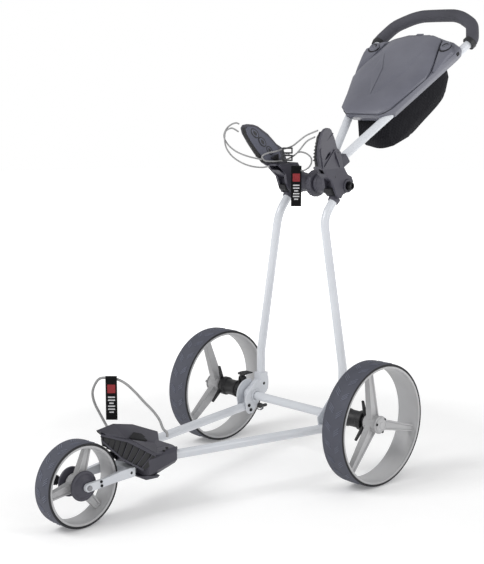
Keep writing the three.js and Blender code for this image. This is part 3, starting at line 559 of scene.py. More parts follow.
# %% Rims
RIM_THICKNESS = 7.2
HUB_RADIUS = 21
REAR_SPOKES, FRONT_SPOKES = (-15, 105, 225), (70, 190, 310)


def channel_spoke(drawing, corners, angle, outward):
    before = set(drawing.faces)
    hull(drawing, corners)
    faces = [f for f in drawing.faces if f not in before]
    pressed = [f for f in faces if f.is_valid and f.normal.x * outward > 0.6]
    for face in pressed:
        bmesh.ops.inset_region(drawing, faces=[face], thickness=3.2, depth=0, use_even_offset=True)
        bmesh.ops.inset_region(drawing, faces=[face], thickness=1.2, depth=-3.4, use_even_offset=True)
    fresh = {v for f in drawing.faces if f not in before for v in f.verts}
    bmesh.ops.rotate(drawing, verts=list(fresh), matrix=Matrix.Rotation(radians(angle), 3, "X"))


def draw_rim(radius, width, spoke_angles, hub, foot, tip, spoke_width):
    drawing = bmesh.new()
    outside = radius - TYRE_THICKNESS - 0.3
    inside, edge = outside - RIM_THICKNESS, width / 2 - 0.4
    turned(
        drawing,
        [(inside + 3.2, -edge), (outside, -edge), (outside, edge), (inside + 3.2, edge),
         (inside + 1.6, edge - 1.2), (inside + 2.2, edge - 5), (inside, edge - 9), (inside, 9 - edge),
         (inside + 2.2, 5 - edge), (inside + 1.6, 1.2 - edge)],
        96, closed=True,
    )
    for angle in spoke_angles:
        corners = [
            (x, y, s * w)
            for s in (-1, 1)
            for (x, y, w) in [
                *((x, HUB_RADIUS * 0.7, spoke_width / 2) for x in foot),
                *((x, inside + 1.5, 8) for x in tip),
            ]
        ]
        channel_spoke(drawing, corners, angle, 1)
    turned(
        drawing,
        [(0, hub[0]), (HUB_RADIUS - 3, hub[0]), (HUB_RADIUS - 1, hub[0] + 2), (HUB_RADIUS, hub[0] + 6),
         (HUB_RADIUS, hub[1] - 3), (HUB_RADIUS - 1, hub[1]), (0, hub[1])],
        64,
    )
    return drawing


def draw_hub_cap():
    drawing = bmesh.new()
    face = REAR_HUB[1] + 0.3
    turned(
        drawing,
        [(0, face), (22, face), (22, face + 2.6), (20.6, face + 4), (19.4, face + 4.4), (18.4, face + 6.8),
         (13.6, face + 8.8), (12.6, face + 7.6), (9, face + 7.6), (8, face + 9), (0, face + 9)],
        64,
    )
    return drawing


# Painted shade: dark boxes in the hub cap stand for the shade inside three notches.
def draw_cap_notch_shade():
    drawing = bmesh.new()
    for angle in REAR_SPOKES:
        verts = bmesh.ops.create_cube(drawing, size=1)["verts"]
        bmesh.ops.scale(drawing, verts=verts, vec=(2.4, 5, 6))
        bmesh.ops.translate(drawing, verts=verts, vec=(REAR_HUB[1] + 7.2, 17.4, 0))
        bmesh.ops.rotate(drawing, verts=verts, matrix=Matrix.Rotation(radians(angle + 60), 3, "X"))
    return drawing


def draw_star():
    drawing = bmesh.new()
    face = REAR_HUB[0] - 0.3
    for angle in REAR_SPOKES:
        before = set(drawing.verts)
        outline = [(y, s * w) for s in (-1, 1) for y, w in ((8, 6), (56, 2.2))]
        block(drawing, (face, face - 5.7), outline)
        fresh = [v for v in drawing.verts if v not in before]
        bmesh.ops.rotate(drawing, verts=fresh, matrix=Matrix.Rotation(radians(angle), 3, "X"))
    rod(drawing, face - 5.7, face, 17)
    return drawing


for side in SIDES:
    rear = (wheel_place(side), f"wheel_{side}")
    rim_drawing = draw_rim(REAR_RADIUS, REAR_WIDTH, REAR_SPOKES, REAR_HUB, (-7, 11), (7, 21), 27)
    finish_piece(f"rim_look_{side}", rim_drawing, *rear, RIM, "rim_plastic", [f"rim_{side}"], bevel=0.9)
    finish_piece(
        f"hub_cap_look_{side}", draw_hub_cap(), *rear, RIM, "rim_plastic", [f"hub_cap_{side}"], bevel=0.4
    )
    finish_piece(f"cap_notch_shade_{side}", draw_cap_notch_shade(), *rear, PAINTED_SHADE, "rim_plastic", bevel=0.3)
    finish_piece(
        f"wheel_star_look_{side}", draw_star(), *rear, BLACK, "black_plastic", [f"wheel_star_{side}"]
    )
finish_piece(
    "rim_look_front",
    draw_rim(FRONT_RADIUS, FRONT_WIDTH, FRONT_SPOKES, (-18, 18), (-9, 9), (-6, 6), 24),
    wheel_place("front"), "wheel_front", RIM, "rim_plastic", ["rim_front"], bevel=0.9,
)
print("rims with", len(REAR_SPOKES), "spokes")

# %% [markdown]
# ## Lower frame
# Two tubes run from the front cradle back to the fold hinge, where a cross tube joins two pairs of
# plates. Black housings carry the stub axles outwards to the wheels.

# %% Frame tubes and hinge plates
TUBE_RADIUS = 11
UPRIGHT_SPREAD, UPRIGHT_SETBACK = 142, 35.5
FOLD_HEIGHT = 144
PLATE, PLATE_RADIUS = 3, 40
PLAY = 2.5
OUTER_PLATE = UPRIGHT_SPREAD + TUBE_RADIUS + PLAY
INNER_PLATE = UPRIGHT_SPREAD - TUBE_RADIUS - PLAY
APEX = (51.6, -470, 123.7)

for side, flip in SIDES.items():
    route = bent([(UPRIGHT_SPREAD, -16, 116.3), (UPRIGHT_SPREAD, -28, 116.3), APEX], [60], 8)
    line_piece(
        f"v_tube_look_{side}", route, CART @ flip, TUBE_RADIUS, "chassis", PAINT,
        [f"v_tube_{side}"],
    )
cross = [(-OUTER_PLATE, 0, FOLD_HEIGHT), (OUTER_PLATE, 0, FOLD_HEIGHT)]
line_piece("cross_tube_look", cross, CART, TUBE_RADIUS, "chassis", PAINT, ["cross_tube"])


def hinge_outline(chord_start, chord_end):
    centre = (0, FOLD_HEIGHT)
    return [
        (-14, FOLD_HEIGHT - 45), (-24, FOLD_HEIGHT - 45.5), (-29, FOLD_HEIGHT - 43), (-36, FOLD_HEIGHT - 33),
        *arc(centre, PLATE_RADIUS, 202, chord_start, 6), *arc(centre, PLATE_RADIUS, chord_end, 70, 8),
        (19, FOLD_HEIGHT + 12), *arc(centre, 21, 25, -60, 8),
    ]


def draw_hinge_plates(outer):
    def draw():
        drawing = bmesh.new()
        start = OUTER_PLATE if outer else INNER_PLATE - PLATE
        chord = (140, 138) if outer else (180, 86)
        plate(drawing, hinge_outline(*chord), start, start + PLATE)
        return drawing
    return draw


for level, outer in (("inner", False), ("outer", True)):
    on_both_sides(
        f"hinge_plate_{level}_look", draw_hinge_plates(outer), CART, "chassis", PAINT, "white_paint",
        [f"hinge_plate_{level}"], bevel=0.6,
    )


def draw_plate_bolts():
    drawing = bmesh.new()
    for y, z in ((-26, 122), (-19.5, 109)):
        rod(drawing, INNER_PLATE - PLATE - 3, INNER_PLATE - PLATE + 1, 4.4, (0, y, z), 1)
        rod(drawing, OUTER_PLATE + PLATE - 1, OUTER_PLATE + PLATE + 3, 4.4, (0, y, z), 1)
    return drawing


on_both_sides("plate_bolts", draw_plate_bolts, CART, "chassis", BOLT, "bolt_steel", bevel=0.3)


def draw_cross_tube_collar():
    drawing = bmesh.new()
    face = INNER_PLATE - PLATE
    turned(
        drawing,
        [(12, face - 2.6), (17, face - 2.6), (18.4, face + 0.2), (12, face + 0.2)],
        48, (0, 0, FOLD_HEIGHT), closed=True,
    )
    return drawing


on_both_sides("cross_tube_collar", draw_cross_tube_collar, CART, "chassis", PAINT, "white_paint", bevel=0.5)

# %% [markdown]
# A stepped black housing carries each stub axle, so it is a profile spun round the axle. The brake
# pedal stands on two lugs above the right one. The fold lever sits inside the right hinge: a black
# finger on a pin, with a bare steel spring leaf bent round below it.

# %% Axle housings, brake and fold lever
HOUSING_FROM = OUTER_PLATE + PLATE + 0.3
HOUSING_TO = REAR_TRACK / 2 + REAR_HUB[0] - 7
BRAKE = (0, REAR_RADIUS + 33)
AXLE_RADIUS = 6
LEVER_PIN = (10, FOLD_HEIGHT - 28)
LUG = (HOUSING_FROM + 9.2, HOUSING_FROM + 25.2)


def draw_housing():
    drawing = bmesh.new()
    turned(
        drawing,
        [(0, HOUSING_FROM), (24, HOUSING_FROM), (25, HOUSING_FROM + 1), (25, HOUSING_FROM + 6),
         (20, HOUSING_FROM + 10), (19.5, HOUSING_FROM + 30), (22.4, HOUSING_FROM + 31),
         (22.4, HOUSING_FROM + 37), (20.5, HOUSING_FROM + 40), (20.5, HOUSING_TO - 16),
         (24, HOUSING_TO - 13), (24, HOUSING_TO - 1),
         (22.6, HOUSING_TO), (0, HOUSING_TO)],
        56, (0, 0, REAR_RADIUS),
    )
    for angle in range(0, 360, 60):
        verts = bmesh.ops.create_cone(
            drawing, segments=16, radius1=3.2, radius2=2.6, depth=3, cap_ends=True
        )["verts"]
        bmesh.ops.translate(drawing, verts=verts, vec=(0, 0, 20.8))
        bmesh.ops.rotate(drawing, verts=verts, matrix=Matrix.Rotation(radians(angle + 20), 3, "X"))
        bmesh.ops.translate(drawing, verts=verts, vec=(HOUSING_FROM + 22, 0, REAR_RADIUS))
    return drawing


def draw_brake_lug():
    drawing = bmesh.new()
    for start, end in ((LUG[0], LUG[0] + 4), (LUG[1] - 4, LUG[1])):
        plate(
            drawing,
            [(-11, REAR_RADIUS + 12), (11, REAR_RADIUS + 12), (6.5, BRAKE[1] + 3), (3.5, BRAKE[1] + 5.5),
             (-3.5, BRAKE[1] + 5.5), (-6.5, BRAKE[1] + 3)],
            start, end,
        )
    return drawing


def draw_brake():
    drawing = bmesh.new()
    start, end = LUG[0] + 5.1, LUG[1] - 5.1
    y, z = BRAKE
    stem = [(-6, -4), (6, -4), (7, 10), (5, 14), (-6, 14), (-7, 8)]
    pedal = [(-9, 9), (6, 11), (24, 10.5), (25, 13.5), (6, 15.5), (-9, 14.5)]
    plate(drawing, [(y + dy, z + dz) for dy, dz in stem], start, end)
    plate(drawing, [(y + dy, z + dz) for dy, dz in pedal], start - 12, end + 6)
    for k in range(4):
        front, top = y + 3 + 5 * k, z + 16.2 - 0.4 * k
        rib = [(front, z + 13), (front + 2, z + 13), (front + 2, top), (front, top)]
        plate(drawing, rib, start - 10, end + 4)
    return drawing


on_both_sides(
    "axle_housing_look", draw_housing, CART, "chassis", BLACK, "black_plastic", ["axle_housing"], bevel=0.5
)
finish_piece("brake_lug", draw_brake_lug(), CART @ MIRROR, "chassis", BLACK, "black_plastic")
finish_piece(
    "brake_lever_look", draw_brake(), CART @ MIRROR, "brake", BLACK, "black_plastic", ["brake_lever"]
)
for side, flip in SIDES.items():
    stub = [(HOUSING_FROM + 12, 0, REAR_RADIUS), (REAR_TRACK / 2 + REAR_HUB[1] - 2, 0, REAR_RADIUS)]
    line_piece(
        f"stub_axle_look_{side}", stub, CART @ flip, AXLE_RADIUS, "chassis", STEEL,
        [f"stub_axle_{side}"],
    )


def draw_fold_lever():
    drawing = bmesh.new()
    face = -(INNER_PLATE - PLATE - 0.3)
    y, z = LEVER_PIN
    rod(drawing, face, face + 8, 7, (0, y, z))
    finger = [(-2, 6), (-3, -5), (8, -6), (22, -6), (26, -3), (24, 1), (12, 1), (6, 5)]
    plate(drawing, [(y + dy, z + dz) for dy, dz in finger], face + 1, face + 7)
    return drawing


finish_piece(
    "fold_lever_look", draw_fold_lever(), CART, "fold_lever", BLACK, "black_plastic", ["fold_latch_lever"]
)


def draw_spring_leaf():
    drawing = bmesh.new()
    y, z = LEVER_PIN
    under, over = list(arc((y + 3, z), 12, 205, 320, 8)), list(arc((y + 3, z), 13.4, 320, 205, 8))
    plate(drawing, under + over, -125, -119)
    return drawing


finish_piece("spring_leaf", draw_spring_leaf(), CART, "chassis", STEEL, "axle_steel", bevel=0.2)
print("lower frame done")

# %% [markdown]
# ## Mast
# Two bent tubes stand behind the cross tube in cast feet that turn on it. At the top they enter the
# brackets that hold the handle's hinge and the two arms of the upper cradle.

# %% Uprights and feet
CURVE_HEIGHT, LEAN, STUB = 627, 41, 62
UPRIGHT_TOP_SPREAD = 77
UPRIGHT_FROM = FOLD_HEIGHT + 36
lean = radians(LEAN)
upright_line = bent(
    [(UPRIGHT_SPREAD, UPRIGHT_SETBACK, UPRIGHT_FROM), (UPRIGHT_SPREAD, UPRIGHT_SETBACK, 256),
     (UPRIGHT_TOP_SPREAD, UPRIGHT_SETBACK - 4, CURVE_HEIGHT),
     (UPRIGHT_TOP_SPREAD, UPRIGHT_SETBACK - 4 + STUB * sin(lean), CURVE_HEIGHT + STUB * cos(lean))],
    [120, 75], 10,
)
for side, flip in SIDES.items():
    line_piece(
        f"upright_look_{side}", upright_line, CART @ flip, TUBE_RADIUS, "mast", PAINT,
        [f"upright_{side}"],
    )


def draw_foot():
    drawing = bmesh.new()
    half = TUBE_RADIUS + PLAY - 0.8
    y, z = UPRIGHT_SETBACK, FOLD_HEIGHT
    plate(
        drawing,
        [(-6, z + 16.5), (10, z - 14), (y + 8, z + 2), (y + 14, z + 10), (y + 16, z + 26), (y + 15, z + 40),
         (y + 12.5, z + 46), (y + 12.5, z + 55), (y - 12.5, z + 55), (y - 13, z + 36)],
        UPRIGHT_SPREAD - half, UPRIGHT_SPREAD + half,
    )
    rod(drawing, UPRIGHT_SPREAD - half, UPRIGHT_SPREAD + half, 18, (0, 0, FOLD_HEIGHT), 1)
    return drawing


def draw_foot_bolts():
    drawing = bmesh.new()
    half = TUBE_RADIUS + PLAY - 0.3
    for start, end in ((-half, -half + 3), (half - 3, half)):
        rod(drawing, UPRIGHT_SPREAD + start, UPRIGHT_SPREAD + end, 4.6, (0, 34, FOLD_HEIGHT + 26), 1)
    return drawing


on_both_sides(
    "upright_foot_look", draw_foot, CART, "mast", PAINT, "white_paint", ["upright_foot"], bevel=2, segments=3
)
on_both_sides("foot_bolt_look", draw_foot_bolts, CART, "mast", BOLT, "bolt_steel", ["foot_bolt"], bevel=0.3)
print("uprights lean back", LEAN, "degrees at the top")

# %% [markdown]
# A hole through a moulding is cut with a second shape, as a core leaves it in a real mould. The
# Boolean modifier does it, and its result is read back as a new drawing.

# %% Cutting
def carve(drawing, cutter):
    things = []
    for part in (drawing, cutter):
        bmesh.ops.recalc_face_normals(part, faces=part.faces)
        mesh = bpy.data.meshes.new("carving")
        part.to_mesh(mesh)
        part.free()
        things.append(bpy.data.objects.new("carving", mesh))
        bpy.context.scene.collection.objects.link(things[-1])
    bite = things[0].modifiers.new("bite", "BOOLEAN")
    bite.object, bite.operation, bite.solver = things[1], "DIFFERENCE", "EXACT"
    bpy.context.view_layer.update()
    mesh = bpy.data.meshes.new_from_object(things[0].evaluated_get(bpy.context.evaluated_depsgraph_get()))
    result = bmesh.new()
    result.from_mesh(mesh)
    for thing in things:
        bpy.data.objects.remove(thing)
    bpy.data.meshes.remove(mesh)
    return result


# %% [markdown]
# Each arm of the upper cradle is a blade that leans outwards. It is drawn flat in y and z and then
# sheared sideways. A soft pad with raised ovals lines its inner face, and teeth run up its front.

# %% Cradle arms
ARM_FOOT, ARM_SLOPE = (97, 748), 0.44


def lean_out(drawing):
    for vert in drawing.verts:
        x, y, z = vert.co
        rise = z - ARM_FOOT[1]
        vert.co.x = x + ARM_FOOT[0] + rise * ARM_SLOPE - 0.003 * max(rise, 0) * (y + 44)


ARM_EDGE = [
    (80, 748), (66, 789), (46, 801), (24, 827), (-1, 847), (-12, 851), (-26, 852.5), (-38, 850.5), (-45, 843),
    (-46, 830), (-39, 806), (-27, 780), (-10, 757), (4, 748),
]
PAD_EDGE = [
    (52, 771), (42, 793), (19, 819), (-4, 839), (-14, 845), (-30, 846.5), (-40, 841), (-41, 828), (-34, 806),
    (-22, 784), (-8, 766), (8, 757), (36, 758),
]


def draw_arm():
    drawing, window = bmesh.new(), bmesh.new()
    plate(drawing, ARM_EDGE, -8, 0)
    plate(window, [(4, 774), (10, 776), (22, 787), (17, 793), (8, 786)], -30, 30)
    drawing = carve(drawing, window)
    lean_out(drawing)
    return drawing


ARM_RIBS = [
    ((4, 752), (34, 796)), ((34, 796), (60, 788)), ((34, 796), (66, 752)), ((-30, 800), (10, 838)),
    ((4, 752), (-30, 800)),
]


def draw_arm_ribs():
    drawing = bmesh.new()
    for (y0, z0), (y1, z1) in ARM_RIBS:
        across = Vector((0, z1 - z0, y0 - y1)).normalized() * 1.6
        ends = ((y0, z0), (y1, z1))
        block(drawing, (-2, 2.6), [(y + s * across.y, z + s * across.z) for y, z in ends for s in (1, -1)])
    lean_out(drawing)
    return drawing


def draw_arm_teeth():
    drawing = bmesh.new()
    front = [(-8, 757), (-22, 779), (-33, 806), (-40, 830), (-38, 844)]
    for ends in zip(front, front[1:]):
        block(drawing, (-11.5, -7), [(y + dy, z) for y, z in ends for dy in (-8, 4)])
    tooth = ((4, -3), (-6.6, -2.2), (-6.6, 1.4), (4, 2.8))
    for k in range(8):
        y, z = -19 - 21 * sin(pi * (k + 1) / 17), 774 + 8.6 * k
        block(drawing, (-13, -7), [(y + dy, z + dz) for dy, dz in tooth])
    lean_out(drawing)
    return drawing


def draw_pad():
    drawing = bmesh.new()
    plate(drawing, PAD_EDGE, -14.5, -7.5)
    lean_out(drawing)
    return drawing


OVALS = ((-19, 830, 1), (-3, 808, 1), (14, 786, 0.9))
OVAL_LEAN = radians(28)


# Painted shade: a thin black ring, proud of the pad, round each oval stands for the shade in its groove.
def draw_pad_groove_shade():
    drawing = bmesh.new()
    for y, z, size in OVALS:
        ring = [(9.4 * size * a, 13 * size * b) for a, b in arc((0, 0), 1, 0, 345, 23)]
        leaning = [
            (y + p * cos(OVAL_LEAN) - q * sin(OVAL_LEAN), z + p * sin(OVAL_LEAN) + q * cos(OVAL_LEAN))
            for p, q in ring
        ]
        plate(drawing, leaning, -15, -14)
    lean_out(drawing)
    return drawing


def draw_pad_ovals():
    drawing = bmesh.new()
    for y, z, size in OVALS:
        verts = []
        for radius, height in ((1, 1.4), (0.9, 3.4), (0.62, 3.2), (0.56, 2)):
            circle = bmesh.ops.create_circle(drawing, segments=28, radius=8.6 * radius * size)["verts"]
            bmesh.ops.rotate(drawing, verts=circle, matrix=Matrix.Rotation(radians(90), 3, "Y"))
            bmesh.ops.scale(drawing, verts=circle, vec=(1, 0.82, 1.3))
            bmesh.ops.rotate(drawing, verts=circle, matrix=Matrix.Rotation(OVAL_LEAN, 3, "X"))
            bmesh.ops.translate(drawing, verts=circle, vec=(-12.8 - height, y, z))
            verts.append(circle)
        for lower, upper in zip(verts, verts[1:]):
            edges = {e for v in lower for e in v.link_edges if e.other_vert(v) in lower}
            edges |= {e for v in upper for e in v.link_edges if e.other_vert(v) in upper}
            bmesh.ops.bridge_loops(drawing, edges=list(edges))
        drawing.faces.new(verts[-1])
        drawing.faces.new(verts[0])
    lean_out(drawing)
    return drawing


PAD = moulded("soft_pad", (88, 90, 104), (80, 82, 95), 0.5, 1300, 0.14)
on_both_sides(
    "cradle_arm_look", draw_arm, CART, "mast", DARK, "dark_plastic", ["cradle_arm"], bevel=1.6, segments=3
)
on_both_sides("arm_teeth", draw_arm_teeth, CART, "mast", BLACK, "dark_plastic", bevel=0.7)
on_both_sides("arm_ribs", draw_arm_ribs, CART, "mast", DARK, "dark_plastic", bevel=0.6)
on_both_sides("arm_pad", draw_pad, CART, "mast", PAD, "dark_plastic", bevel=2, segments=3)
on_both_sides("arm_pad_groove_shade", draw_pad_groove_shade, CART, "mast", BLACK, "dark_plastic", bevel=0)
on_both_sides("arm_pad_ovals", draw_pad_ovals, CART, "mast", PAD, "dark_plastic", bevel=0.5, smooth=30)

# %% [markdown]
# A bracket is an open casting: an outer flange, an inner cheek and ribs between them, with a barrel
# that meets the handle's disc. Dark slabs in the triangular pockets in front are painted shade.

# %% Brackets and hinge
HINGE_BARREL, HINGE_DISC = 24.5, 33.5
DISC_FROM, DISC_TO = -18, 2
BLOCK_FROM, BLOCK_TO, BLOCK_TOP = 60, 97, 754
hy, hz = HINGE[1], HINGE[2]
FLANGE = [
    (52, hz - 12), (62, hz - 27), (73, hz - 30), (80, hz - 21), (106, hz - 13), (115, hz - 5),
    (118, hz + 10), (112, hz + 22), (98, hz + 28), (86, hz + 40), (80, BLOCK_TOP), (4, BLOCK_TOP),
    (18, hz + 34), (40, hz + 16),
]
CHEEK = [
    (48, hz - 12), (62, hz - 26), (104, hz - 13), (116, hz + 8), (100, hz + 30), (84, BLOCK_TOP),
    (14, BLOCK_TOP), (40, hz + 22),
]
MIDDLE_WEB = [
    (66, hz - 22), (104, hz - 12), (114, hz + 8), (100, hz + 30), (84, BLOCK_TOP), (58, BLOCK_TOP), (58, hz),
]


def draw_bracket():
    drawing = bmesh.new()
    plate(drawing, FLANGE, BLOCK_TO - 7, BLOCK_TO)
    plate(drawing, CHEEK, BLOCK_FROM, BLOCK_FROM + 8)
    between = (BLOCK_FROM + 4, BLOCK_TO - 4)
    plate(drawing, MIDDLE_WEB, *between)
    block(drawing, between, [(18, hz + 34), (22, hz + 30), (62, hz + 8), (62, hz + 14)])
    block(drawing, between, [(y, z) for y in (6, 70) for z in (BLOCK_TOP, BLOCK_TOP - 5)])
    hull(drawing, [
        (BLOCK_FROM + 6, 40, hz + 22), (BLOCK_FROM + 6, 46, hz + 18), (BLOCK_TO - 4, 14, BLOCK_TOP - 6),
        (BLOCK_TO - 4, 22, BLOCK_TOP - 6), (BLOCK_FROM + 6, 60, hz + 20), (BLOCK_TO - 4, 60, BLOCK_TOP - 4),
    ])
    return drawing


def draw_barrel(side):
    drawing = bmesh.new()
    start = DISC_TO + 0.3 if side == "left" else -DISC_FROM + 0.3
    turned(
        drawing,
        [(0, start), (HINGE_BARREL - 1.2, start), (HINGE_BARREL, start + 1.2), (HINGE_BARREL, start + 10),
         (HINGE_BARREL - 1.4, start + 11), (HINGE_BARREL - 1.4, start + 26), (HINGE_BARREL, start + 27),
         (HINGE_BARREL, BLOCK_FROM - 6), (HINGE_BARREL + 3, BLOCK_FROM),
         (HINGE_BARREL + 3, BLOCK_FROM + 4), (0, BLOCK_FROM + 4)],
        64, (0, hy, hz),
    )
    return drawing


def draw_flange_boss():
    drawing = bmesh.new()
    turned(
        drawing,
        [(0, BLOCK_TO - 2), (17, BLOCK_TO - 2), (17, BLOCK_TO + 2), (15.5, BLOCK_TO + 3.5),
         (11.5, BLOCK_TO + 3.5), (11, BLOCK_TO + 0.5), (0, BLOCK_TO + 0.5)],
        48, (0, hy, hz),
    )
    return drawing


def draw_pocket_shade():
    """Painted shade: dark slabs in the hollows between the ribs, on the bracket's front."""
    drawing = bmesh.new()
    high = ((80, 8, 768), (80, 31, 777), (82, 36, 754))
    low = ((90, 27, 748), (94, 49, 752), (96, 52, 726))
    for triangle in (high, low):
        hull(drawing, [(x + dx, y + dy, z) for x, y, z in triangle for dx, dy in ((-1.5, 1), (1.5, -1))])
    block(drawing, (66, 88), [(42, hz - 6), (44, hz - 16), (62, hz - 24), (62, hz - 4)])
    return drawing


def draw_tube_collar():
    drawing = bmesh.new()
    radius, depth, along = TUBE_RADIUS + 2.6, 12, 56
    bmesh.ops.create_cone(
        drawing, segments=48, radius1=radius, radius2=radius + 1.5, depth=depth, cap_ends=True
    )
    bmesh.ops.rotate(drawing, verts=drawing.verts, matrix=Matrix.Rotation(-lean, 3, "X"))
    middle = (UPRIGHT_TOP_SPREAD, UPRIGHT_SETBACK - 4 + along * sin(lean), CURVE_HEIGHT + along * cos(lean))
    bmesh.ops.translate(drawing, verts=drawing.verts, vec=middle)
    return drawing


for side, flip in SIDES.items():
    finish_piece(
        f"upper_bracket_look_{side}", draw_bracket(), CART @ flip, "mast", DARK, "dark_plastic",
        [f"upper_bracket_{side}"], bevel=1.2,
    )
    finish_piece(
        f"bracket_barrel_{side}", draw_barrel(side), CART @ flip, "mast", DARK, "dark_plastic", bevel=0.5
    )
on_both_sides("bracket_boss", draw_flange_boss, CART, "mast", DARK, "dark_plastic", bevel=0.5)
on_both_sides("bracket_pocket_shade", draw_pocket_shade, CART, "mast", PAINTED_SHADE, "dark_plastic", bevel=0)
on_both_sides("upright_collar", draw_tube_collar, CART, "mast", DARK, "dark_plastic", bevel=0.8)


def draw_hinge_bolt():
    drawing = bmesh.new()
    turned(
        drawing,
        [(0, -BLOCK_TO - 5), (5, -BLOCK_TO - 5), (5, BLOCK_TO + 1), (9.6, BLOCK_TO + 1), (10, BLOCK_TO + 2),
         (10, BLOCK_TO + 12.5), (9, BLOCK_TO + 14), (5.4, BLOCK_TO + 14), (4.8, BLOCK_TO + 9),
         (0, BLOCK_TO + 9)],
        48, (0, hy, hz),
    )
    return drawing


finish_piece(
    "hinge_bolt_look", draw_hinge_bolt(), CART, "mast", BOLT, "bolt_steel", ["hinge_bolt"], bevel=0.3
)
socket_line = [(BLOCK_TO + 8.5, hy, hz), (BLOCK_TO + 9.3, hy, hz)]
line_piece("bolt_socket", socket_line, CART, 4.6, "mast", STEEL)

# %% [markdown]
# ## Front end
# The lower cradle is a wedge moulded round the ends of the two tubes. Two wings open above it like a
# V-shaped tray, one low and one high, and their nose points up and forwards over the front wheel.

# %% Lower cradle
FORK_BACK = -571


def wing(drawing, points, depth=5):
    hull(drawing, [*points, *((x, y + depth * 0.35, z - depth) for x, y, z in points)])


CRADLE_SIDE = [
    (72, -454, 136), (72, -454, 117), (62, -450, 144), (62, -450, 107), (40, -440, 142), (40, -440, 105),
    (60, -528, 128), (60, -528, 94), (50, -534, 136), (50, -534, 89), (10, -534, 136), (10, -534, 89),
    (48, -500, 85), (10, -500, 85),
]
CRADLE_BACK = [
    (64, -448, 140), (64, -448, 110), (48, -432, 138), (48, -432, 110), (30, -470, 138), (30, -470, 106),
]


def draw_lower_cradle():
    drawing = bmesh.new()
    for s in (1, -1):
        for points in (CRADLE_SIDE, CRADLE_BACK):
            hull(drawing, [(s * x, y, z) for x, y, z in points])
    mirrored_block(
        drawing, [(12, -534, 89), (12, -534, 138), (12, -500, 85), (42, -440, 142), (42, -440, 107)]
    )
    mirrored_block(drawing, [(10, -612, 188), (10, -606, 178), (22, -534, 112), (12, -500, 146)])
    return drawing


LOW_WING = [(18, -626, 205), (45, -574, 184), (62, -506, 140), (62, -474, 138)]
HIGH_WING = [(-4, -626, 205), (-36, -553, 199), (-58, -478, 178), (-54, -404, 146)]
KEEL = [(0, -606, 186), (0, -530, 152), (0, -446, 136)]


def draw_wings():
    drawing = bmesh.new()
    for nose, front, middle, back in (LOW_WING, HIGH_WING):
        wing(drawing, [KEEL[0], nose, front, KEEL[1]])
        wing(drawing, [KEEL[1], front, middle, KEEL[2]])
        wing(drawing, [KEEL[2], middle, back])
    return drawing


def draw_nose_lip():
    drawing = bmesh.new()
    hull(drawing, [
        (-6, -626, 206), (20, -628, 205), (24, -620, 198), (-8, -618, 198), (0, -612, 190), (14, -612, 190),
    ])
    hull(drawing, [(18, -626, 206), (24, -622, 198), (46, -575, 186), (49, -571, 176)])
    hull(drawing, [(46, -575, 186), (49, -571, 176), (63, -506, 141), (65, -504, 132)])
    return drawing


def draw_underside_ribs():
    drawing = bmesh.new()
    for k in range(6):
        y = -604 + 12 * k
        top = 178 - 0.78 * (y + 604)
        hull(drawing, [(x, yy, z) for yy in (y, y + 2.4) for x, z in (
            (-16, top), (30 + 2 * k, top - 2), (24 + 2 * k, top - 16), (-12, top - 16))])
    return drawing


SHIELD = [
    (14, -628, 202), (22, -632, 187), (38, -587, 139), (54, -540, 106), (60, -528, 112), (62, -506, 138),
    (45, -574, 182),
]


# The side shields are real walls, but their black is painted shade: they are made darker than the cradle's
# slate plastic because they lie in shadow under the wings.
def draw_shade_painted_shields():
    drawing = bmesh.new()
    hull(drawing, [(x + dx, y + dy, z) for x, y, z in SHIELD for dx, dy in ((0, 0), (-7, 5))])
    hull(drawing, [(-x * 0.9, y + dy, z - dz) for x, y, z in SHIELD[2:6] for dy, dz in ((10, 4), (16, 6))])
    return drawing


def draw_shield_ribs():
    drawing = bmesh.new()
    top = [Vector((16, -629, 199)), Vector((46, -576, 180)), Vector((62, -510, 136))]
    low = [Vector((23, -632, 188)), Vector((38, -588, 141)), Vector((55, -541, 108))]
    rib = [Vector(v) for v in ((2, -1.5, 1.6), (2, -1.5, -1.6), (-3, 3, 1.6), (-3, 3, -1.6))]
    border = [Vector(v) for v in ((3, -2, 2.5), (3, -2, -2.5), (-4, 3, 2.5), (-4, 3, -2.5))]
    for k in range(9):
        part = (k + 0.5) / 4.5
        i = min(int(part), 1)
        ends = top[i].lerp(top[i + 1], part - i), low[i].lerp(low[i + 1], part - i)
        hull(drawing, [point + offset for point in ends for offset in rib])
    for rail in (top, low):
        for ends in zip(rail, rail[1:]):
            hull(drawing, [point + offset for point in ends for offset in border])
    return drawing


# Painted shade: a dark solid in the tray stands for the shade inside a slot.
def draw_painted_slot_shade():
    drawing = bmesh.new()
    slot = ((-5, -530, 164), (-17, -508, 170), (-20, -482, 160), (-8, -468, 143), (-4, -484, 148))
    hull(drawing, [(x, y, z + dz) for x, y, z in slot for dz in (-6, 3.5)])
    return drawing


def draw_base_plate():
    drawing = bmesh.new()
    mirrored_block(drawing, [
        (56, -535, 92), (56, -492, 84), (40, -545, 90), (30, -482, 80), (52, -530, 80), (50, -494, 77),
    ])
    return drawing


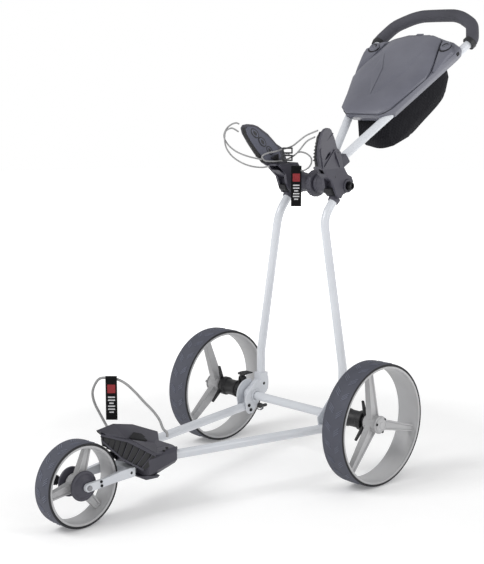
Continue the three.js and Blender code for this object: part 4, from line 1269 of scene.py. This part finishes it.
finish_piece(
    "lower_cradle_look", draw_lower_cradle(), CART, "chassis", DARK, "dark_plastic", ["lower_cradle"],
    bevel=2.2, segments=3,
)
finish_piece("cradle_wings", draw_wings(), CART, "chassis", DARK, "dark_plastic", bevel=1.4)
finish_piece("wing_lip", draw_nose_lip(), CART, "chassis", DARK, "dark_plastic", bevel=1.6, segments=3)
finish_piece("cradle_ribs", draw_underside_ribs(), CART, "chassis", BLACK, "dark_plastic", bevel=0.5)
finish_piece("shade_painted_shields", draw_shade_painted_shields(), CART, "chassis", BLACK, "dark_plastic", bevel=0.8)
finish_piece("cradle_shield_ribs", draw_shield_ribs(), CART, "chassis", DARK, "dark_plastic", bevel=0.6)
finish_piece("painted_slot_shade", draw_painted_slot_shade(), CART, "chassis", PAINTED_SHADE, "dark_plastic", bevel=0)
finish_piece("cradle_base", draw_base_plate(), CART, "chassis", DARK, "dark_plastic", bevel=2, segments=3)


def draw_cradle_screws():
    drawing = bmesh.new()
    for y, z in ((-473.4, 145.2), (-482.5, 140.5)):
        screw = bmesh.ops.create_cone(drawing, segments=20, radius1=3.4, radius2=3, depth=3, cap_ends=True)
        bmesh.ops.translate(drawing, verts=screw["verts"], vec=(58, y, z))
    return drawing


finish_piece("cradle_screws", draw_cradle_screws(), CART, "chassis", BOLT, "bolt_steel", bevel=0.3)
print("lower cradle done")

# %% [markdown]
# A cast yoke and two flat arms carry the front axle. Cones with dished faces cover the axle on both
# sides of the wheel, and a knob outside the right arm trims the wheel's line.

# %% Fork
FORK_SPREAD = 39
KNOB = (-WHEELBASE - 22, FRONT_RADIUS + 2)


def draw_casting():
    drawing = bmesh.new()
    mirrored_block(drawing, [
        (24, -534.3, 108), (24, -534.3, 92), (33.5, FORK_BACK, 114), (33.5, FORK_BACK, 94),
        (33.5, FORK_BACK + 14, 114), (33.5, FORK_BACK + 14, 94),
    ])
    return drawing


def draw_fork_arm():
    drawing = bmesh.new()
    axle = (-WHEELBASE, FRONT_RADIUS)
    plate(
        drawing,
        [*arc(axle, 9.4, 262, 98, 10), (-640, 108), (-596, 114), (FORK_BACK + 14, 116), (FORK_BACK + 17, 113),
         (FORK_BACK + 17, 95), (FORK_BACK + 14, 92.5), (-610, 91.5)],
        FORK_SPREAD - 5, FORK_SPREAD + 5,
    )
    return drawing


def draw_fork_bolts():
    drawing = bmesh.new()
    for y, z in ((-652, 104), (-651, 94.5)):
        rod(drawing, FORK_SPREAD + 4, FORK_SPREAD + 7.4, 3.4, (0, y, z), 0.8)
    rod(drawing, FORK_SPREAD + 4, FORK_SPREAD + 6.6, 3, (0, FORK_BACK + 5, 104), 0.8)
    return drawing


def draw_axle_cover():
    drawing = bmesh.new()
    start, end = 19, FORK_SPREAD - 5.3
    turned(
        drawing,
        [(6.3, start), (30, start), (33.2, start + 0.8), (34, start + 2.4), (34, start + 5),
         (33, start + 6.4), (28, start + 7.2), (26, start + 9.6), (21, start + 12), (18, end), (6.3, end)],
        64, (0, -WHEELBASE, FRONT_RADIUS), closed=True,
    )
    return drawing


def draw_knob():
    drawing = bmesh.new()
    start = FORK_SPREAD + 5.3
    y, z = KNOB
    rod(drawing, start, start + 12, 10.4, (0, y, z), 1.4)
    for k in range(12):
        grip = bmesh.ops.create_cone(drawing, segments=10, radius1=1.6, radius2=1.4, depth=10, cap_ends=True)
        verts, angle = grip["verts"], radians(30 * k)
        bmesh.ops.rotate(drawing, verts=verts, matrix=Matrix.Rotation(radians(90), 3, "Y"))
        bmesh.ops.translate(drawing, verts=verts, vec=(start + 6, y + 10 * cos(angle), z + 10 * sin(angle)))
    return drawing


finish_piece(
    "front_casting_look", draw_casting(), CART, "chassis", PAINT, "white_paint", ["front_casting"], bevel=3,
    segments=4,
)
on_both_sides(
    "fork_arm_look", draw_fork_arm, CART, "chassis", PAINT, "white_paint", ["fork_arm"], bevel=1.8, segments=3
)
on_both_sides("fork_bolts", draw_fork_bolts, CART, "chassis", BOLT, "bolt_steel", bevel=0.3)
on_both_sides(
    "axle_cover_look", draw_axle_cover, CART, "chassis", DARK, "dark_plastic", ["axle_cover"], bevel=0.4
)
front_axle = [(s * (FORK_SPREAD + 8), -WHEELBASE, FRONT_RADIUS) for s in (-1, 1)]
line_piece("front_axle_look", front_axle, CART, AXLE_RADIUS, "chassis", STEEL, ["front_axle"])
finish_piece(
    "tracking_knob_look", draw_knob(), CART @ MIRROR, "knob", BLACK, "black_plastic", ["tracking_knob"],
    bevel=0.4,
)
print("fork done")

# %% [markdown]
# ## Handle
# The handle is drawn along its own length. Two tubes splay from a yoke on the hinge disc, pass under
# the console and meet in the arched grip, a foam sleeve with a hard collar at each end.

# %% Handle tubes, yoke and grip
TUBE_CROSSING, HANDLE_SPLAY = 42, 0.3064
HANDLE_LENGTH, GRIP_REACH, GRIP_RADIUS = 541, 652, 17
TUBE_FROM, FOAM_FROM = 84, 548


def splay(along):
    return (along - TUBE_CROSSING) * HANDLE_SPLAY


for side, s in (("left", 1), ("right", -1)):
    ends = [(s * splay(along), along, 0) for along in (TUBE_FROM, HANDLE_LENGTH + 12)]
    line_piece(
        f"handle_tube_look_{side}", ends, HANDLE, TUBE_RADIUS, "handle", PAINT,
        [f"handle_tube_{side}"],
    )
bend = HANDLE_LENGTH + 14.5
arch = bent(
    [(splay(TUBE_FROM), TUBE_FROM, 0), (splay(bend), bend, 0), (130, GRIP_REACH - 42, 8),
     (74, GRIP_REACH - 9, 12), (0, GRIP_REACH, 13)],
    [34, 60, 120],
)
left_half = [Vector((splay(FOAM_FROM), FOAM_FROM, 0)), *(p for p in arch if p.y > FOAM_FROM + 1)]
right_half = [Vector((-p.x, p.y, p.z)) for p in reversed(left_half[:-1])]
grip_line = flowing([*left_half, *right_half][::2], 6)
line_piece(
    "grip_foam_sleeve", grip_line, HANDLE, GRIP_RADIUS, "handle", FOAM, ["handle_grip"], sides=14
)
for side, s in (("left", 1), ("right", -1)):
    collar = [(s * splay(a), a, 0) for a in (540, 551)]
    line_piece(
        f"grip_collar_{side}", collar, HANDLE, GRIP_RADIUS + 1, "handle", BLACK, sides=14
    )


DISC_TEETH = 20


def draw_knuckle():
    drawing = bmesh.new()
    turned(
        drawing,
        [(0, DISC_FROM), (HINGE_DISC - 3, DISC_FROM), (HINGE_DISC, DISC_FROM + 3),
         (HINGE_DISC, DISC_TO - 3), (HINGE_DISC - 3, DISC_TO), (0, DISC_TO)],
        64,
    )
    for k in range(DISC_TEETH):
        verts = bmesh.ops.create_cube(drawing, size=1)["verts"]
        bmesh.ops.scale(drawing, verts=verts, vec=(12, 3.4, 3))
        bmesh.ops.translate(drawing, verts=verts, vec=((DISC_FROM + DISC_TO) / 2, 0, HINGE_DISC))
        bmesh.ops.rotate(drawing, verts=verts, matrix=Matrix.Rotation(2 * pi * k / DISC_TEETH, 3, "X"))
    block(drawing, (DISC_FROM, DISC_TO), [(10, -15), (10, 15), (44, -14), (44, 14)])
    hull(drawing, [(x, y, s * z) for s in (1, -1) for x, y, z in (
        (-22, 38, 12), (20, 38, 12), (-34, 96, 14), (34, 96, 14), (-30, 100, 10), (30, 100, 10))])
    return drawing


finish_piece(
    "handle_knuckle_look", draw_knuckle(), HANDLE, "handle", DARK, "dark_plastic", ["handle_knuckle"],
    bevel=1.4,
)
print("grip", round(length_of(grip_line), 3), "m of foam")

# %% [markdown]
# ## Console
# A shallow tray clips over both tubes. Its lid is a wide, gently domed panel hinged at the lower end,
# with a press latch at the head. Two raised corners carry caps that turn to hold accessories.

# %% Console
CONSOLE_FOOT, CONSOLE_HEAD, CONSOLE_BASE, CONSOLE_TOP = 235, 554, -8, 20


def both_halves(right):
    return [*right, *((-x, y, *rest) for x, y, *rest in reversed(right))]


def console_outline(inset=0):
    reach = 21 - inset
    return both_halves([
        (56 - inset, CONSOLE_FOOT + inset), (splay(262) + reach, 262), (splay(483) + reach, 483),
        (splay(500) + reach - 3, 502), (126 - inset, 522 - inset), (92 - inset, 533 - inset),
        (40, CONSOLE_HEAD - inset),
    ])


def loft(drawing, outlines, closed=True):
    """A skin over outlines that lie one above the other, with its ends closed."""
    rings = [[drawing.verts.new(point) for point in outline] for outline in outlines]
    for lower, upper in zip(rings, rings[1:]):
        for a, b, c, d in zip(lower, lower[1:] + lower[:1], upper[1:] + upper[:1], upper):
            drawing.faces.new((a, b, c, d))
    drawing.faces.new(rings[-1])
    if closed:
        drawing.faces.new(rings[0][::-1])


def shell_of(levels):
    """The console's outline at each (inset, height), lofted."""
    drawing = bmesh.new()
    loft(drawing, [[(x, y, z) for x, y in console_outline(inset)] for inset, z in levels])
    return drawing


def tray_edge(inset):
    return both_halves([
        (splay(262) - 12 - inset, 262 + inset), (splay(500) - 12 - inset, 500),
        (splay(500) - 34 - inset, 519 - inset), (44 - inset, 532 - inset),
    ])


def mouth():
    opening = bmesh.new()
    slab(opening, tray_edge(2.6), CONSOLE_BASE + 3, CONSOLE_TOP + 8)
    return opening


def draw_console():
    outer = shell_of([(9, CONSOLE_BASE), (3, 4), (0, 10), (0, CONSOLE_TOP)])
    shell = carve(outer, shell_of([(11.6, CONSOLE_BASE - 3), (5.6, 4), (2.8, 10), (2.8, CONSOLE_TOP - 2.6)]))
    return carve(shell, mouth())


def draw_tray():
    drawing = bmesh.new()
    slab(drawing, tray_edge(0), CONSOLE_BASE + 0.3, CONSOLE_TOP - 2)
    return carve(drawing, mouth())


finish_piece(
    "console_look", draw_console(), HANDLE, "handle", CONSOLE, "console_plastic", ["console_base"],
    bevel=2.4, segments=4,
)
finish_piece("console_tray_floor", draw_tray(), HANDLE, "handle", CONSOLE, "console_plastic", bevel=0.8)
print("console", CONSOLE_HEAD - CONSOLE_FOOT, "mm long")

# %% [markdown]
# A raised corner stands on either side of the lid's head, and carries a round cap that twists to hold
# an accessory. The corner is a hull with generous rounds. The cap is a profile spun upright. Its
# crescent and dots are thin dark slabs of painted shade, because a moulded recess and holes that small
# read as shade only. A dark disc under the cap is its painted shadow.

# %% Corners, caps and painted shade in small gaps
def draw_corner():
    drawing = bmesh.new()
    hull(drawing, [
        (129, 384, 19), (124, 430, 19), (91, 524, 19), (97, 532, 19), (125, 521, 19), (154, 482, 19),
        (147, 452, 19),
        (126, 436, 29), (96, 514, 29), (100, 519, 29), (122, 514, 29), (147, 478, 29), (141, 456, 29),
    ])
    return drawing


def stand_up(drawing, centre):
    bmesh.ops.rotate(drawing, verts=drawing.verts, matrix=Matrix.Rotation(radians(-90), 3, "Y"))
    bmesh.ops.translate(drawing, verts=drawing.verts, vec=centre)
    return drawing


CAP_AT = (120, 495, CONSOLE_TOP + 9.3)


def draw_cap():
    drawing = bmesh.new()
    turned(
        drawing,
        [(0, 0), (15.5, 0), (15.5, 1.2), (14.6, 2), (14.2, 4), (13.2, 5), (10.6, 5), (10, 4.3), (0, 4.3)],
    )
    return stand_up(drawing, CAP_AT)


# Painted shade: a thin dark crescent and three dots on the cap's top stand for the shade in a small recess
# and three holes.
def draw_cap_recess_shade():
    drawing = bmesh.new()
    crescent = [*arc((0, 0), 9.2, 20, 200, 20), *arc((2.1, -3.4), 8.4, 183, 37, 20)]
    height = (CAP_AT[2] + 4.2, CAP_AT[2] + 4.55)
    slab(drawing, [(CAP_AT[0] + x, CAP_AT[1] + y) for x, y in crescent], *height)
    for x, y in ((3.5, -1), (1, -4.5), (-3, -5.6)):
        slab(drawing, list(arc((CAP_AT[0] + x, CAP_AT[1] + y), 0.9, 0, 330, 11)), *height)
    return drawing


# Painted shadow: a dark disc, set a little off the cap's centre, shows as a crescent of shadow under the cap.
def draw_cap_shadow_disc():
    drawing = bmesh.new()
    turned(drawing, [(0, -1), (17.6, -1), (17.6, 0.6), (0, 0.6)])
    return stand_up(drawing, (CAP_AT[0], CAP_AT[1] - 3, CAP_AT[2]))


# Painted shade: a dark block on the console's side stands for the shade inside a square hole.
def draw_hole_shade():
    drawing = bmesh.new()
    x = splay(486) + 19
    block(drawing, (x - 2, x + 2.4), [(y, z) for y in (481, 491) for z in (8, 17)])
    return drawing


# Painted shade: thin dark slabs stand for the shade in the gap round the lid's latch.
def draw_painted_latch_shade():
    drawing = bmesh.new()
    block(drawing, (-13, 13), [(y, z) for y in (539.8, 541.4) for z in (12, 26)])
    for x in (-12.9, 12.4):
        block(drawing, (x, x + 0.5), [(y, z) for y in (541, 552) for z in (12, 21)])
    return drawing


on_both_sides(
    "console_corner", draw_corner, HANDLE, "handle", CONSOLE, "console_plastic", bevel=3.2, segments=5
)
on_both_sides("cap_well", draw_cap_shadow_disc, HANDLE, "handle", PAINTED_SHADE, "console_plastic", bevel=0)
on_both_sides(
    "console_cap_look", draw_cap, HANDLE, "cap_{side}", CONSOLE, "console_plastic", ["console_cap"], bevel=0.4
)
on_both_sides("socket_hole_shade", draw_hole_shade, HANDLE, "handle", PAINTED_SHADE, "console_plastic", bevel=0.8)
finish_piece("painted_latch_shade", draw_painted_latch_shade(), HANDLE, "handle", PAINTED_SHADE, "console_plastic", bevel=0)
on_both_sides("cap_mark", draw_cap_recess_shade, HANDLE, "cap_{side}", PAINTED_SHADE, "console_plastic", bevel=0)

# %% [markdown]
# The lid is a shallow dome with a flat middle. Rings that step inwards as they rise are skinned into
# one loft, which gives the long soft slope that a bevel can't. Its underside is then carved hollow,
# and a notch at its head makes room for the latch, a block that sits in the console.

# %% Lid and latch
LID_EDGE = [
    (54, 237), (68, 246), (80, 260), (122, 376), (121, 404), (116, 430), (84, 528), (74, 535), (36, 549),
]
LID_BASE = CONSOLE_TOP + 0.3
LATCH_HALF = 12


def lid_ring(inset, height):
    half = []
    for x, y in LID_EDGE:
        inwards = inset if y < 300 else -inset if y > 500 else 0
        half.append((x - inset, y + inwards, LID_BASE + height))
    return both_halves(half)


def draw_lid():
    drawing = bmesh.new()
    levels = [(0, 0), (0, 4.4), (1, 6.2), (3.5, 7.8), (9, 10), (17, 12.8), (26, 14.8), (34, 15.8)]
    loft(drawing, [lid_ring(*level) for level in levels])
    notch = bmesh.new()
    side = LATCH_HALF + 1
    slab(notch, both_halves([(side, CONSOLE_HEAD - 14), (side, CONSOLE_HEAD + 5)]), 10, 50)
    drawing = carve(drawing, notch)
    hollow = bmesh.new()
    hull(hollow, [*lid_ring(3, -2), *lid_ring(6.5, 5.2), *lid_ring(28, 12.2)])
    return carve(drawing, hollow)


def draw_lid_facets():
    """A faint V pressed into the panel from its head to its foot."""
    drawing = bmesh.new()
    top = LID_BASE + 15.5
    for s in (1, -1):
        hull(drawing, [(s * x, y, z) for x, y, z in (
            (4, 292, top), (60, 392, top), (66, 470, top), (30, 400, top), (5, 300, top + 1.3),
            (52, 392, top + 1.3), (58, 456, top + 1.3), (28, 400, top + 1.3),
        )])
    return drawing


# Painted shade: a thin dark ring just under the lid's edge stands for the shade in the gap between lid and
# console.
def draw_lid_gap_shade():
    drawing = bmesh.new()
    slab(drawing, [(x, y) for x, y, z in lid_ring(-1.3, 0)], CONSOLE_TOP - 0.5, CONSOLE_TOP + 0.15)
    inside = bmesh.new()
    slab(inside, [(x, y) for x, y, z in lid_ring(4, 0)], CONSOLE_TOP - 3, CONSOLE_TOP + 3)
    return carve(drawing, inside)


def draw_latch():
    drawing = bmesh.new()
    half, head = LATCH_HALF, CONSOLE_HEAD
    block(drawing, (-half, half), [(head - 8, 12), (head - 3, 12), (head - 8, 27), (head - 3, 27)])
    lip = [(head - 7, 23), (head + 1, 23.5), (head - 7, 27), (head + 0.5, 26.5)]
    block(drawing, (1 - half, half - 1), lip)
    return drawing


finish_piece(
    "console_lid_look", draw_lid(), HANDLE, "lid", CONSOLE, "console_plastic", ["console_lid"], bevel=0,
    smooth=24,
)
finish_piece("lid_facets", draw_lid_facets(), HANDLE, "lid", CONSOLE, "console_plastic", bevel=0.4)
finish_piece("lid_gap_shade", draw_lid_gap_shade(), HANDLE, "handle", PAINTED_SHADE, "console_plastic", bevel=0)
finish_piece(
    "lid_latch_look", draw_latch(), HANDLE, "lid_button", CONSOLE, "console_plastic", ["lid_latch"],
    bevel=1.2, segments=3,
)
print("console and lid done")

# %% [markdown]
# ## Net pouch
# A mesh pouch hangs under the console between the tubes. It is lofted from rounded rings, sags a
# little between its corners, and has gathers that grow towards its floor.

# %% Net
NET_TOP, NET_DEPTH = CONSOLE_BASE - 0.6, 126
NET_LEVELS = [
    (0, 264, 532, 50, 84), (0.36, 228, 526, 46, 80), (0.64, 232, 522, 44, 74), (0.88, 300, 502, 38, 62),
    (1, 368, 470, 24, 44),
]
AROUND, BETWEEN = 96, 24


def net_level(part):
    for low, high in zip(NET_LEVELS, NET_LEVELS[1:]):
        if part <= high[0]:
            mix = (part - low[0]) / (high[0] - low[0])
            return [a + (b - a) * mix for a, b in zip(low, high)]
    return NET_LEVELS[-1]


def net_ring(part):
    _, front, back, front_half, back_half = net_level(part)
    corners = both_halves([
        (front_half, front), (front_half + 8, front + 22), (back_half, back - 22), (back_half - 22, back),
    ])
    line = flowing([(x, y, 0) for x, y in (*corners[-3:], *corners, *corners[:3])], BETWEEN)
    closed = line[3 * BETWEEN : (3 + len(corners)) * BETWEEN]
    middle = (front + back) / 2
    ring = []
    for k in range(AROUND):
        point = closed[k * len(closed) // AROUND]
        turn = 2 * pi * k / AROUND
        folds = 0.018 * (1 + sin(11 * turn + 3 * part)) + 0.01 * sin(5 * turn)
        gather = 0.988 - part * folds
        ring.append((point.x * gather, middle + (point.y - middle) * gather, NET_TOP - NET_DEPTH * part))
    return ring


def draw_net():
    drawing = bmesh.new()
    parts = [0, 0.02, 0.08, 0.16, 0.26, 0.36, 0.46, 0.56, 0.64, 0.74, 0.82, 0.88, 0.94, 0.985]
    _, front, back, _, _ = NET_LEVELS[-1]
    middle = (front + back) / 2
    floor = [(x * 0.5, (y + middle) * 0.5, NET_TOP - NET_DEPTH + 0.4) for x, y, z in net_ring(1)]
    loft(drawing, [*(net_ring(part) for part in parts), floor], closed=False)
    return drawing


net = finish_piece(
    "net_bag_look", draw_net(), HANDLE, "handle", NET, "net_fabric", ["net_bag"], bevel=0, smooth=80
)
cloth = net.modifiers.new("cloth", "SOLIDIFY")
cloth.thickness, cloth.offset = 1.1 * MM, 0
hem_line = [(x, y, z - 4) for x, y, z in net_ring(0.02)]
hem = line_piece("net_hem", [*hem_line, hem_line[0]], HANDLE, 2.2, "handle", ELASTIC, sides=4)

# %% [markdown]
# ## Tags and buckle
# Two webbing tags are folded strips sewn over the cords, with a red block and white stripes woven
# in. A strip could be folded by a simulation, but its two layers lie flat, so one plate with a slit
# between them is enough. The upper cord passes through a pair of square loops held by a bead.

# %% Tags and buckle
TAG_WIDTH, TAG_LENGTH = 26, 103


def tag_place(centre, top):
    return CART @ Matrix.Translation((centre[0], centre[1], top)) @ Matrix.Rotation(radians(45), 4, "Z")


def draw_tag():
    drawing = bmesh.new()
    half = 1.2
    soft, low = half * 0.6, -TAG_LENGTH
    outline = [
        (-half, -2), (-soft, -0.3), (soft, -0.3), (half, -2), (half, low + 2), (soft, low + 0.3),
        (-soft, low + 0.3), (-half, low + 2), (-half, -8), (-0.25, -8), (-0.25, low + 3), (0.25, low + 3),
        (0.25, -3), (-0.25, -3), (-0.25, -7.4), (-half, -7.4),
    ]
    plate(drawing, outline, -TAG_WIDTH / 2, TAG_WIDTH / 2)
    return drawing


def draw_stripes(bands):
    drawing = bmesh.new()
    for low, high, half in bands:
        for side in (1.2, -1.36):
            verts = bmesh.ops.create_cube(drawing, size=1)["verts"]
            bmesh.ops.scale(drawing, verts=verts, vec=(2 * half, 0.16, high - low))
            bmesh.ops.translate(drawing, verts=verts, vec=(0, side + 0.08, -(low + high) / 2))
    return drawing


TAGS = (("tag_upper", "mast", (-26, 42), 750), ("tag_lower", "chassis", (-49, -545), 306))
RED_BLOCK = [(20, 40, 9)]
WHITE_BARS = [(48, 51, 8), (55, 58, 8), (62, 65, 5), (69, 72, 8), (76, 79, 8), (83, 86, 5)]
for tag_name, body, centre, top in TAGS:
    place = tag_place(centre, top)
    red = finish_piece(
        f"{tag_name}_red", draw_stripes(RED_BLOCK), place, body, RED_THREAD, "tag_fabric", bevel=0
    )
    white = finish_piece(
        f"{tag_name}_white", draw_stripes(WHITE_BARS), place, body, WHITE_THREAD, "tag_fabric", bevel=0
    )
    tag = finish_piece(
        f"{tag_name}_look", draw_tag(), place, body, WEBBING, "tag_fabric", [tag_name], bevel=0
    )

buckle_place = CART @ Matrix.Translation((-47.6, 32.4, 778)) @ Matrix.Rotation(radians(40), 4, "Z")


def draw_buckle():
    drawing = bmesh.new()
    for low, high in ((1.5, 17), (-17, -1.5)):
        frame_piece, opening = bmesh.new(), bmesh.new()
        for part, gap, depth in ((frame_piece, 0, 4.2), (opening, 3.6, 8)):
            verts = bmesh.ops.create_cube(part, size=1)["verts"]
            bmesh.ops.scale(part, verts=verts, vec=(26 - 2 * gap, 2 * depth, high - low - 2 * gap))
            bmesh.ops.translate(part, verts=verts, vec=(0, 0, (low + high) / 2))
        loop = carve(frame_piece, opening)
        mesh = bpy.data.meshes.new("loop")
        loop.to_mesh(mesh)
        loop.free()
        drawing.from_mesh(mesh)
        bpy.data.meshes.remove(mesh)
    return drawing


def draw_bead():
    drawing = bmesh.new()
    bmesh.ops.create_uvsphere(drawing, u_segments=24, v_segments=14, radius=3.6)
    bmesh.ops.scale(drawing, verts=drawing.verts, vec=(1.6, 1, 0.8))
    return drawing


finish_piece(
    "cord_buckle_look", draw_buckle(), buckle_place, "mast", BLACK, "dark_plastic", ["cord_buckle"], bevel=0.9
)
finish_piece("cord_bead", draw_bead(), buckle_place, "mast", RIM, "dark_plastic", bevel=0, smooth=80)

# %% [markdown]
# ## Floor and light
# A white studio: a large soft lamp high on the left, a weaker one on the right and an even sky. The
# sky looks brighter to the camera than the light it gives, and the floor glows more the further it
# is from the cart, so the ground melts into the backdrop while soft shadows stay under the wheels.

# %% Floor and lights
floor_drawing = bmesh.new()
bmesh.ops.create_circle(floor_drawing, cap_ends=True, segments=96, radius=9)
floor_mesh = bpy.data.meshes.new("floor")
floor_drawing.to_mesh(floor_mesh)
floor_drawing.free()
floor = bpy.data.objects.new("floor", floor_mesh)
floor.location.z = -0.0006
bpy.context.scene.collection.objects.link(floor)
FLOOR = moulded("studio_floor", (244, 244, 244), (242, 242, 242), 0.7, 40, 0.0)
floor_mesh.materials.append(FLOOR)
floor_shader = FLOOR.node_tree.nodes["Principled BSDF"]
floor_shader.inputs["Emission Color"].default_value = (1, 1, 1, 1)
floor_link, floor_add = FLOOR.node_tree.links.new, FLOOR.node_tree.nodes.new
floor_place = floor_add("ShaderNodeTexCoord")
floor_far, floor_glow = floor_add("ShaderNodeVectorMath"), floor_add("ShaderNodeMapRange")
floor_far.operation = "LENGTH"
for socket, value in {"From Min": 0.7, "From Max": 2.2, "To Min": 0.16, "To Max": 1.0}.items():
    floor_glow.inputs[socket].default_value = value
floor_link(floor_place.outputs["Object"], floor_far.inputs[0])
floor_link(floor_far.outputs["Value"], floor_glow.inputs["Value"])
floor_link(floor_glow.outputs["Result"], floor_shader.inputs["Emission Strength"])


def lamp(name, location, aim, width, power):
    data = bpy.data.lights.new(name, "AREA")
    data.size, data.energy = width, power
    thing = bpy.data.objects.new(name, data)
    bpy.context.scene.collection.objects.link(thing)
    thing.location = location
    thing.rotation_euler = (Vector(aim) - Vector(location)).to_track_quat("-Z", "Y").to_euler()
    return thing


key = lamp("key_light", (-0.9, -2.6, 2.8), (0, 0, 0.5), 1.5, 58)
fill = lamp("fill_light", (2.6, 0.9, 1.8), (0, 0, 0.5), 1.4, 20)
world = bpy.data.worlds.new("studio")
bpy.context.scene.world = world
world.use_nodes = True
sky_link, sky_add = world.node_tree.links.new, world.node_tree.nodes.new
seen, strength = sky_add("ShaderNodeLightPath"), sky_add("ShaderNodeMapRange")
strength.inputs["To Min"].default_value = 0.6
strength.inputs["To Max"].default_value = 1.0
sky_link(seen.outputs["Is Camera Ray"], strength.inputs["Value"])
sky_link(strength.outputs["Result"], world.node_tree.nodes["Background"].inputs["Strength"])
world.node_tree.nodes["Background"].inputs["Color"].default_value = (1, 1, 1, 1)
bpy.context.scene.view_settings.view_transform = "Standard"

# %% [markdown]
# The drawn pieces are a little fuller than the frame's solids.

# %% End of the scene
print("scene built")
